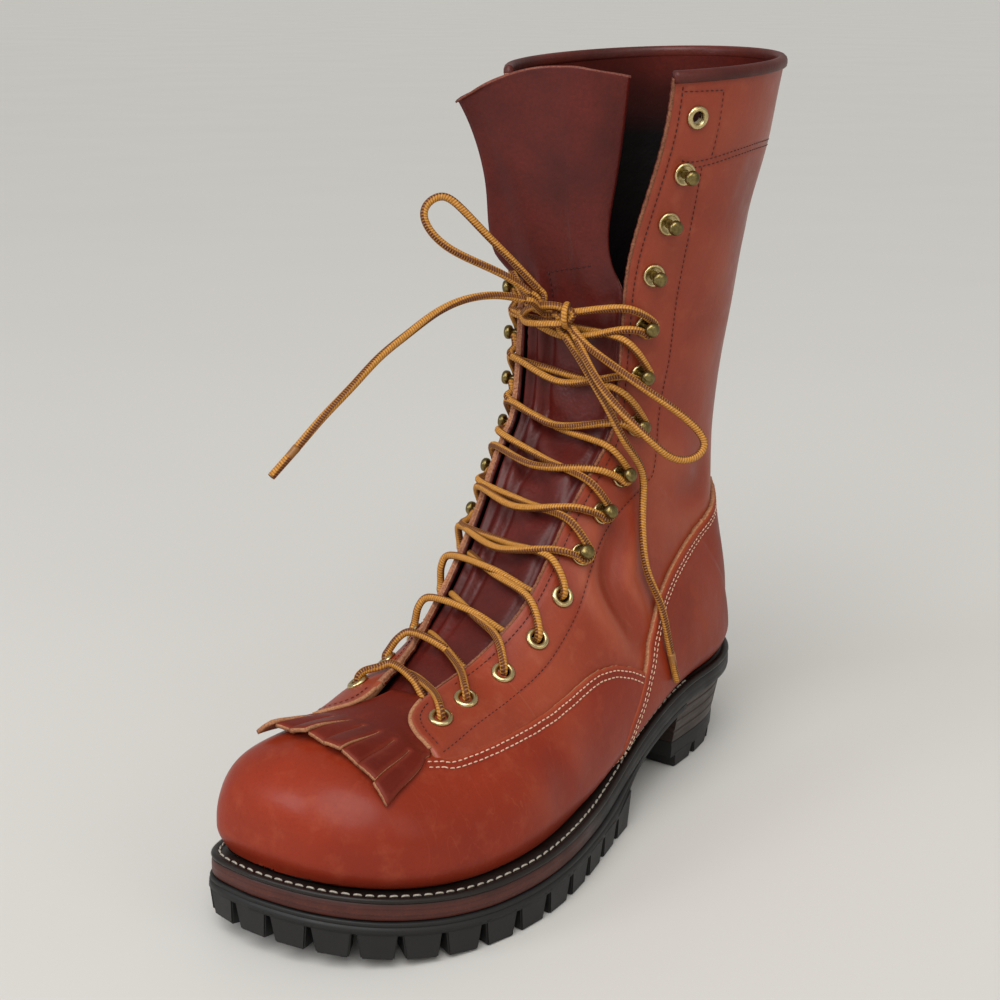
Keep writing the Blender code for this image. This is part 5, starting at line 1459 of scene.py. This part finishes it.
def kiltie_sheet(per_strip=7, along=40):
    """Fringed flap: strips cut from one piece, each lying a little differently."""
    at = np.linspace(0.0, len(KILTIE_ROWS) - 1.0, along)
    table = [natural_spline(column(KILTIE_ROWS, k), at) for k in range(1, 6)]
    total = STRIPS * (STRIP_WIDTH + STRIP_SLOT)
    fine = np.linspace(0.0, 1.0, 121)
    arches = {}

    def on_arch(a, away):
        """Point on the upper, closed over the throat, that far from its ridge."""
        key = round(float(a), 2)
        if key not in arches:
            lateral, medial = section(key, fine, closed=True)
            arch = np.vstack([lateral, medial[-2::-1]])
            run = run_along(arch)
            arches[key] = (arch, run, run[len(lateral) - 1])
        arch, run, ridge = arches[key]
        return np.array([np.interp(ridge + away, run, arch[:, c]) for c in range(3)])

    rows = []
    for step, (row_lateral, row_medial, lift_lateral, lift_medial, spread) in enumerate(zip(*table)):
        free = smooth_step(3.7, 6.0, at[step])
        points = []
        for k, (_, tip_lift, roll, shorter) in enumerate(STRIP_LIE):
            for e in np.linspace(0.0, 1.0, per_strip):
                share = (k * (STRIP_WIDTH + STRIP_SLOT) + e * STRIP_WIDTH) / total
                away = (share - 0.5 - KILTIE_SHIFT) * total * spread
                a = row_lateral + (row_medial - row_lateral) * share + shorter * free
                p = on_arch(a, away)
                forward = on_arch(a - 0.1, away) - on_arch(a + 0.1, away)
                n = unit(np.cross(forward, on_arch(a, away + 1.0) - p))
                n = n if n[2] > 0.0 else -n
                lift = lift_lateral + (lift_medial - lift_lateral) * share
                wave = 0.25 * math.sin(7.0 * share + 2.0 * at[step])
                lift += free * (tip_lift + roll * (2.0 * e - 1.0)) + wave
                points.append(p + n * lift)
        rows.append(points)
    slit = int(np.searchsorted(at, 3.8))
    skip = {(i, k * per_strip - 1) for i in range(slit, along - 1) for k in range(1, STRIPS)}
    return strip_sheet(rows, skip)


KILTIE = kiltie_sheet()
if KILTIE.normals[:, 2].mean() < 0.0:
    KILTIE.faces = KILTIE.faces[:, ::-1]
    KILTIE.find_normals()
kiltie_points, kiltie_faces, kiltie_kinds = KILTIE.shell(-KILTIE_THICK, 0.0, 0.3)
kiltie_edge = nearest(KILTIE.points, [KILTIE.points[[i for i, j in KILTIE.rim()]]])
blank = np.zeros(len(kiltie_points))
piece("fringed_kiltie", kiltie_points, kiltie_faces, (KILTIE_LEATHER, CUT_EDGE, CUT_EDGE), "kiltie_leather",
      ("kiltie",), kiltie_kinds,
      {"edge": np.r_[kiltie_edge, kiltie_edge], "seam": blank + FAR, "fold": blank, "rubbed": blank + 0.3})

# sole: welt, midsole, outsole, heel; edge profiles are (inset, depth under the welt's top)
WELT_PROFILE = ((17.0, 0.0), (6.6, 0.0), (4.6, 0.1), (4.0, 0.45), (3.2, 0.5), (2.6, 0.15), (1.6, 0.05),
                (0.7, 0.25), (0.15, 0.7), (0.0, 1.3), (0.15, 1.9), (0.5, WELT_EDGE), (17.0, WELT_EDGE))
face_out(piece("welt_strip", *edge_ring(WELT_PROFILE), (WELT_LEATHER,), "welt_leather", ("welt",),
               marks={"depth": np.repeat(column(WELT_PROFILE, 1), len(LOOP))}))
MIDSOLE_TOP = WELT_THICK + GAP
MIDSOLE_BOTTOM = MIDSOLE_TOP + MIDSOLE_THICK
MIDSOLE_PROFILE = ((17.0, WELT_EDGE + 0.05), (0.9, WELT_EDGE + 0.05), (0.45, WELT_EDGE + 0.4),
                   (0.2, WELT_EDGE + 1.4), (0.1, WELT_EDGE + 3.0), (0.1, MIDSOLE_BOTTOM - 1.4),
                   (0.3, MIDSOLE_BOTTOM - 0.4), (0.8, MIDSOLE_BOTTOM), (17.0, MIDSOLE_BOTTOM))
mid_points, mid_faces = edge_ring(MIDSOLE_PROFILE)
face_out(piece("midsole_edge", mid_points, mid_faces, (MIDSOLE_LEATHER,), "sole_leather", ("midsole",),
               marks={"depth": np.repeat(column(MIDSOLE_PROFILE, 1), len(LOOP)),
                      "waist": smooth_step(-62.0, -8.0, mid_points[:, 1])}))


PLATE_INSET = 16.0
plate_points, plate_faces = stack(
    ((PLATE_INSET, under(0.2)), (PLATE_INSET, under(MIDSOLE_BOTTOM - 0.1))),
    inset_loop(LOOP, PLATE_INSET)[:, 1].min() + 0.02, 0.5 - 0.5 * np.cos(np.linspace(0.0, math.pi, 60)))
face_out(piece("midsole_plate", plate_points, plate_faces, (MIDSOLE_LEATHER,), "sole_leather", smooth=False,
               marks={"depth": np.full(len(plate_points), 6.0), "waist": np.full(len(plate_points), 0.4)}))


def tread_root(y):
    """Height of the outsole's underside between its lugs."""
    fair = 10.0 * smooth_step(0.0, OUTSOLE_END + 4.0, y)
    return toe_spring(y) + LUG_DEPTH + fair


def outsole_body():
    """Rubber under the forefoot, thinning out under the waist, with the moulded step round its side."""
    top = under(MIDSOLE_BOTTOM + GAP)
    # inset at the forefoot, inset at the waist, share of the depth
    levels = ((0.4, 0.5, 0.0), (-0.5, 0.5, 0.03), (-0.8, 0.5, 0.12), (-0.9, 0.5, 0.33), (-0.55, 0.5, 0.37),
              (-0.55, 0.5, 0.41), (-1.1, 0.5, 0.46), (-1.4, 0.6, 1.0))
    rings = []
    for fore_inset, waist_inset, share in levels:
        fore, waist = (inset_loop(LOOP, inset) for inset in (fore_inset, waist_inset))
        low = fore[:, 1].min() + 0.02
        y = low + (HEEL_BREAST + 1.0 - low) * np.linspace(0.0, 1.0, 110)**1.4
        fade = smooth_step(OUTSOLE_END - 26.0, OUTSOLE_END + 14.0, y)
        lateral, medial = (wide * (1.0 - fade) + narrow * fade
                           for wide, narrow in zip(loop_sides(fore, y), loop_sides(waist, y)))
        bottom = tread_root(y) * (1.0 - fade) + (top(y) - 2.6) * fade
        z = top(y) + (bottom - top(y)) * share
        rings.append(np.vstack([np.c_[lateral, y, z], np.c_[medial, y, z][::-1]]))
    return np.vstack(rings), slab_faces(len(rings[0]), len(rings))


TREAD_LOOP = inset_loop(LOOP, -1.5)
TURNED = np.roll(TREAD_LOOP, len(TREAD_LOOP) // 2, 0)
TURNED_RUN = run_along(TURNED)
AHEAD = np.where(TURNED[:, 1] < OUTSOLE_END - 8.0)[0]
LUGS = edge_lugs(TURNED, TURNED_RUN[AHEAD[0]], TURNED_RUN[AHEAD[-1]], LUG_PITCH, LUG_INWARD,
                 lambda y: tread_root(y) + LUG_ROOT, toe_spring)
# two rows of lugs in the middle of the tread
LUG_CORNERS = np.array(((1, 1), (-1, 1), (-1, -1), (1, -1)), float)
for step in range(7):
    station = -122.0 + 20.0 * step
    left, right = loop_sides(LOOP, station)
    centre = 0.5 * (left + right)
    spread = (left - right) * 0.5 - LUG_INWARD - 5.0
    for offset in (-0.5, 0.5):
        middle = np.array((centre + offset * spread, station + 4.0 * offset))
        reach = np.array((0.36 * spread, 7.0))
        top = middle + LUG_CORNERS * reach
        low = middle + LUG_CORNERS * (reach - 1.2)
        LUGS.append(block(np.c_[top, tread_root(top[:, 1]) + LUG_ROOT], np.c_[low, toe_spring(low[:, 1])]))
face_out(piece("outsole_rubber", *outsole_body(), (RUBBER,), "rubber", ("outsole",)))
soften(piece("forefoot_lugs", *gather(LUGS), (RUBBER,), "rubber", smooth=False), LUG_ROUND)

HEEL_STATIONS = np.sin(np.linspace(0.0, 0.5 * math.pi, 60))
HEEL_TOP_INSET = 3.2
HEEL_FOOT_INSET = 7.4
LIFT_GROOVES = (32.4, 26.7, 21.0)


def heel_inset(z):
    """Inset of the stacked heel at a height."""
    top = WELT_TOP_HEEL - MIDSOLE_BOTTOM - GAP
    return HEEL_TOP_INSET + (HEEL_FOOT_INSET - HEEL_TOP_INSET) * (top - z) / (top - HEEL_CAP_TOP)


HEEL_HEAD = MIDSOLE_BOTTOM + GAP
LIFTS = [(HEEL_TOP_INSET + 0.4, under(HEEL_HEAD)), (HEEL_TOP_INSET, under(HEEL_HEAD + 0.5))]
for groove in LIFT_GROOVES:
    cut = heel_inset(groove) + 0.45
    LIFTS += [(heel_inset(groove + 0.7), level(groove + 0.7)), (cut, level(groove + 0.15)),
              (cut, level(groove - 0.15)), (heel_inset(groove - 0.7), level(groove - 0.7))]
LIFTS.append((HEEL_FOOT_INSET, level(HEEL_CAP_TOP + GAP)))
heel_points, heel_faces = stack(LIFTS, HEEL_BREAST, HEEL_STATIONS)
face_out(piece("heel_lifts", heel_points, heel_faces, (STACK_LEATHER,), "stacked_leather", ("heel_stack",),
               marks={"depth": seat(heel_points[:, 1]) - heel_points[:, 2]}, smooth=False))
HEEL_LOOP = inset_loop(LOOP, 7.6)
HEEL_RUN = run_along(HEEL_LOOP)
BEHIND = np.where(HEEL_LOOP[:, 1] > HEEL_BREAST + 0.8)[0]
HEEL_LUGS = edge_lugs(HEEL_LOOP, HEEL_RUN[BEHIND[0]], HEEL_RUN[BEHIND[-1]], 21.0, 17.0,
                      level(HEEL_LUG_DEPTH + LUG_ROOT), level(0.0))
for station in (90.0, 112.0):
    corner = LUG_CORNERS * (12.0, 8.0)
    HEEL_LUGS.append(block(np.c_[corner + (1.5, station), np.full(4, HEEL_LUG_DEPTH + LUG_ROOT)],
                           np.c_[0.9 * corner + (1.5, station), np.zeros(4)]))
CAP_LEVELS = ((8.2, level(HEEL_CAP_TOP)), (7.6, level(HEEL_CAP_TOP - 0.6)),
              (7.5, level(HEEL_CAP_TOP - 3.0)), (7.9, level(HEEL_LUG_DEPTH)))
face_out(piece("heel_rubber", *stack(CAP_LEVELS, HEEL_BREAST, HEEL_STATIONS), (RUBBER,), "rubber",
               ("heel_cap",), smooth=False))
soften(piece("heel_lugs", *gather(HEEL_LUGS), (RUBBER,), "rubber", smooth=False), LUG_ROUND)

# welt stitching, from over the heel breast round the toe and back
turned = np.roll(inset_loop(LOOP, WELT_SEAM), len(LOOP) // 2, 0)
turned = turned[turned[:, 1] < HEEL_BREAST + 6.0]
welt_line = even_path(np.c_[turned, seat(turned[:, 1]) - 0.2], 1.0)
straight_up = np.tile((0.0, 0.0, 1.0), (len(welt_line), 1))
WELT_STITCHES = stitch_row(welt_line, straight_up, *WELT_STITCH, sink=0.25, wobble=0.1)
piece("welt_stitches", *gather(WELT_STITCHES), (WELT_THREAD,), "welt_leather")

# the insole keeps its solid, with a better leather
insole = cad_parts["insole"]
insole.data.materials.clear()
insole.data.materials.append(INSOLE_LEATHER)

# eyelets and hooks, turned from (radius, height) profiles
EYELET_PROFILE = ((2.55, -0.6), (2.6, 0.5), (2.9, 1.05), (3.5, 1.4), (4.1, 1.35), (4.7, 1.0), (5.05, 0.45),
                  (5.05, 0.0), (4.6, -0.25), (3.2, -0.35))
BARREL_PROFILE = ((2.65, -2.9), (2.6, 0.4), (2.85, 0.4), (2.9, -2.9))
HOOK_FLANGE = ((0.0, -0.3), (4.75, -0.3), (5.05, 0.2), (5.0, 0.85), (4.6, 1.3), (4.1, 1.25), (3.7, 0.85),
               (3.3, 0.5), (1.7, 0.4), (0.0, 0.4))
HOOK_STUD = ((0.0, 0.3), (2.1, 0.38), (1.7, 0.8), (1.5, 1.6), (1.45, 3.0), (1.6, 4.4), (2.2, 4.95),
             (3.0, 5.4), (3.25, 6.0), (3.3, 6.9), (3.1, 7.7), (2.5, 8.3), (1.5, 8.65), (0.0, 8.75))
PLACES = {}
EYELETS, FLANGES, STUDS, EYELET_NODES, HOOK_NODES = [], [], [], [], []
for name, lateral_row, medial_row, kind in FITTINGS:
    for side, word, row in ((1, "lateral", lateral_row), (-1, "medial", medial_row)):
        p, n = behind_edge(row, EDGE_TO_HOOK, side)
        inward = unit(behind_edge(row, EDGE_TO_HOOK - 3.0, side)[0] - p)
        climb = np.cross(n, inward)
        climb = climb if climb[2] > 0.0 else -climb
        if kind == "eyelet":
            p = p + n * (tab_rise(row, 0.85) - 0.12)
            EYELETS.append(lathe(p + n * 0.25, n, EYELET_PROFILE, 28))
            EYELETS.append(lathe(p + n * 0.25, n, BARREL_PROFILE, 20))
            EYELET_NODES.append(word + "_" + name)
        else:
            FLANGES.append(lathe(p + n * 0.5, n, HOOK_FLANGE, 28))
            STUDS.append(lathe(p + n * 0.5, n, HOOK_STUD, 24))
            HOOK_NODES.append(word + "_" + name)
        PLACES[name, side] = (p, n, inward, climb, row, kind)
face_out(piece("brass_eyelets", *gather(EYELETS), (EYELET_BRASS,), "golden_brass", EYELET_NODES))
face_out(piece("hook_flanges", *gather(FLANGES), (EYELET_BRASS,), "antique_brass", HOOK_NODES))
face_out(piece("hook_studs", *gather(STUDS), (HOOK_BRASS,), "antique_brass"))


def throat_middle(row):
    """Middle of the throat at a row, the way up along it and the way out of it."""
    rise = unit(throat_centre(row + 0.1) - throat_centre(row - 0.1))
    lateral, medial = (on_upper(row, 1.0, side)[0] for side in (1, -1))
    out = unit(np.cross(rise, lateral - medial))
    return throat_centre(row), rise, -out if out[1] > 0.0 else out


def over_edge(row, side, back, lift):
    """Point over the facing, a distance behind its edge."""
    q, m = behind_edge(row, back, side)
    return q + m * (LACE_RADIUS + lift)


def over_throat(row, lift, sag):
    """Point over the middle of the throat, hanging a little."""
    middle, rise, out = throat_middle(row)
    return middle + out * lift - rise * sag


def between(here, there):
    """Lace from one fitting to the next on the other side, hanging a little. The way back to the lateral side
    lies on top."""
    side = here[1]
    row, kind = PLACES[here][4:]
    above, next_kind = PLACES[there][4:]
    half_way = 0.5 * (row + above)
    if next_kind == "eyelet":
        q, m = behind_edge(above - 0.25, 1.0, -side)
        under = q - m * (WALL + LACE_RADIUS + 0.4)
        if side > 0:
            return [over_edge(row + 0.36, side, 1.0, 0.9), over_throat(half_way + 0.05, 1.2, 0.0), under]
        return [over_edge(row + 0.20, side, 4.0, 3.6), over_edge(row + 0.30, side, -1.5, 3.0),
                over_throat(half_way + 0.05, 2.6, 0.0), under]
    if side < 0:
        first = [over_edge(row + 0.20, side, 4.0, 3.6)] if kind == "eyelet" else []
        return first + [over_edge(row + 0.14, side, 0.5, 1.6), over_throat(half_way - 0.16, 5.0, 5.0),
                        over_edge(above - 0.27, -side, 1.5, 1.2)]
    return [over_edge(row + 0.30, side, 1.0, 0.9), over_throat(row + 0.44 * (above - row), 1.4, 3.0),
            over_edge(above - 0.62, -side, 0.8, 2.2), over_edge(above - 0.36, -side, 6.5, 0.9)]


def lace_half(course):
    """One half of the lace, from its first eyelet up to the knot."""
    path = []
    for k, here in enumerate(course):
        p, n, inward, climb, row, kind = PLACES[here]
        if kind == "eyelet":
            path += [p - n * 4.6 + inward * 2.5 - climb * 1.5, p - n * 1.6,
                     p + n * 1.8 + inward * 0.5 + climb * 0.6, p + n * 3.2 + inward * 3.2 + climb * 2.6]
        else:
            swing = HOOK_STEM + LACE_RADIUS - 0.1
            path += [p + n * 3.6 + swing * (math.sin(turn) * climb - math.cos(turn) * inward)
                     for turn in np.radians((-115.0, -60.0, 0.0, 50.0, 85.0))]
        if k + 1 < len(course):
            path += between(here, course[k + 1])
    side = here[1]
    return path + [over_edge(row + 0.06, side, 1.0, 2.2), KNOT + (side * 13.0, 1.0, 2.5),
                   KNOT + (side * 6.0, 0.0, 1.0)]


LACE_PATH = round_path(lace_half(LACE_COURSES[1])[::-1] + lace_half(LACE_COURSES[0]))
lace_points, lace_faces, lace_marks = tube(LACE_PATH, LACE_RADIUS, 10)
face_out(piece("lace", lace_points, lace_faces, (LACE_YARN,), "lace_cord", ("lace_crossings",),
               marks=lace_marks))

# the knot: a flat ring of lace in front, a turn drawn over it, and the strands running into it
KNOT_RING = ((-17.0, 1.0, -2.5), (-11.0, -2.6, 2.0), (-2.0, -4.4, 4.6), (6.0, -3.6, 4.6), (11.0, -0.8, 1.4),
             (8.4, -3.0, -2.4), (1.0, -5.2, -3.4), (-7.0, -4.8, -4.0), (-13.6, -1.8, -4.0),
             (-17.6, 1.6, -0.6))
KNOT_TURN = ((6.5, 2.6, -3.4), (8.0, -1.4, -4.0), (9.6, -5.6, -0.6), (9.4, -4.8, 3.4), (7.6, -0.2, 5.0),
             (5.6, 3.2, 2.6))
knot_paths = [round_path(KNOT + np.array(turn), 0.8) for turn in (KNOT_RING, KNOT_TURN)]
for name, points in FREE_LACE.items():
    points = np.asarray(points)
    ends = [(points[0], points[1])] + ([(points[-1], points[-2])] if "loop" in name else [])
    for near, far in ends:
        back = unit(near - far)
        side = np.sign(near[0] - KNOT[0])
        knot_paths.append(round_path([near - back * 1.5, near + back * 0.6, near + back * 3.5,
                                      KNOT + (side * 4.0, -1.5, 0.5), KNOT + (side * 0.5, 0.5, 0.0)], 0.8))
knot_bodies, knot_marks = [], {"along": [], "turn_sine": [], "turn_cosine": []}
for turn in knot_paths:
    points, faces, marks = tube(turn, LACE_RADIUS - 0.02, 12)
    knot_bodies.append((points, faces))
    for key in knot_marks:
        knot_marks[key] += list(marks[key])
face_out(piece("lace_knot", *gather(knot_bodies), (LACE_YARN,), "lace_cord", ("bow_knot",), marks=knot_marks))

# the free lace: two loops and two ends with their tips
for name, points in FREE_LACE.items():
    points = np.asarray(points)
    fine = np.linspace(0.0, len(points) - 1.0, 60 * len(points))
    path = even_path(np.stack([natural_spline(points[:, c], fine) for c in range(3)], -1), 1.0)
    body, faces, marks = tube(path, LACE_RADIUS, 12)
    made = face_out(piece("cord_" + name, body, faces, (LACE_YARN,), "lace_cord", (name,), marks=marks))
    line = (path - CENTRE) * MM
    loop = "loop" in name
    if not loop:
        tip = path[-TIP_LENGTH:]
        taper = np.linspace(LACE_RADIUS + 0.12, LACE_RADIUS - 0.25, len(tip))
        face_out(piece("tip_" + name, *tube(tip, taper, 12)[:2], (AGLET,), "lace_cord"))

# studio: wide pale floor, soft light, and the camera at the photograph's viewing angle; sizes in metres
FLOOR_REACH = 60.0
floor_mesh = bpy.data.meshes.new("studio_floor")
floor_corners = [(x * FLOOR_REACH, y * FLOOR_REACH, 0.0) for x, y in ((-1, -1), (1, -1), (1, 1), (-1, 1))]
floor_mesh.from_pydata(floor_corners, [], [(0, 1, 2, 3)])
floor_mesh.materials.append(studio_paper("studio_paper", "#d2d0cb", "#cfcdc8"))
studio_floor = bpy.data.objects.new("studio_floor", floor_mesh)
bpy.context.scene.collection.objects.link(studio_floor)


def lamp(name, place, aim, size, power, colour):
    """Soft rectangular light."""
    data = bpy.data.lights.new(name, "AREA")
    data.shape = "RECTANGLE"
    data.size, data.size_y = size
    data.energy = power
    data.color = linear(colour)[:3]
    made = bpy.data.objects.new(name, data)
    made.location = place
    made.rotation_euler = (Vector(aim) - Vector(place)).to_track_quat("-Z", "Y").to_euler()
    bpy.context.scene.collection.objects.link(made)


lamp("overhead_softbox", (0.45, -0.75, 1.35), (0.0, -0.05, 0.1), (1.1, 0.6), 2.6, "#fffaf4")
lamp("window_left", (-0.75, -1.35, 0.85), (0.0, 0.0, 0.15), (0.45, 0.6), 6.0, "#f6f8ff")
lamp("fill_right", (1.5, -0.3, 0.8), (0.0, 0.0, 0.15), (0.8, 0.8), 3.0, "#fff9f0")
sky_data = bpy.data.lights.new("ceiling_light", "SUN")
sky_data.energy = 2.1
sky_data.angle = math.radians(50.0)
sky = bpy.data.objects.new("ceiling_light", sky_data)
sky.rotation_euler = Vector((-0.25, 0.7, -0.9)).to_track_quat("-Z", "Y").to_euler()
bpy.context.scene.collection.objects.link(sky)
world = bpy.data.worlds.new("studio_air")
world.use_nodes = True
background = world.node_tree.nodes["Background"]
background.inputs["Color"].default_value = linear("#f2f1ee")
background.inputs["Strength"].default_value = 0.45
bpy.context.scene.world = world
bpy.context.scene.view_settings.view_transform = "Standard"

# camera as fitted to the boot: place in table millimetres, turn and tilt in radians, the rest in pixels
CAMERA_TURN = -0.716306
CAMERA_PLACE = np.array((400.153, -590.231, 363.174))
CAMERA_TILT = -0.279822
PHOTO_FOCAL = 1522.78
FRAME_CENTRE = (662.0, 522.0)
FRAME_WIDTH = 880.0
PHOTO_MIDDLE = 500.0
SENSOR = 36.0
level_reach = math.cos(CAMERA_TILT)
look = np.array((math.sin(CAMERA_TURN) * level_reach, math.cos(CAMERA_TURN) * level_reach,
                 math.sin(CAMERA_TILT)))
right = np.array((math.cos(CAMERA_TURN), -math.sin(CAMERA_TURN), 0.0))
up = np.cross(right, look)
across, down = ((centre - PHOTO_MIDDLE) / PHOTO_FOCAL for centre in FRAME_CENTRE)
aim = unit(look + right * across - up * down)
camera_data = bpy.data.cameras.new("photo_camera")
camera_data.sensor_width = SENSOR
camera_data.lens = SENSOR * PHOTO_FOCAL / FRAME_WIDTH
camera = bpy.data.objects.new("photo_camera", camera_data)
camera.location = Vector((CAMERA_PLACE - CENTRE) * MM)
camera.rotation_euler = Vector(aim).to_track_quat("-Z", "Y").to_euler()
bpy.context.scene.collection.objects.link(camera)
bpy.context.scene.camera = camera
bpy.context.view_layer.update()
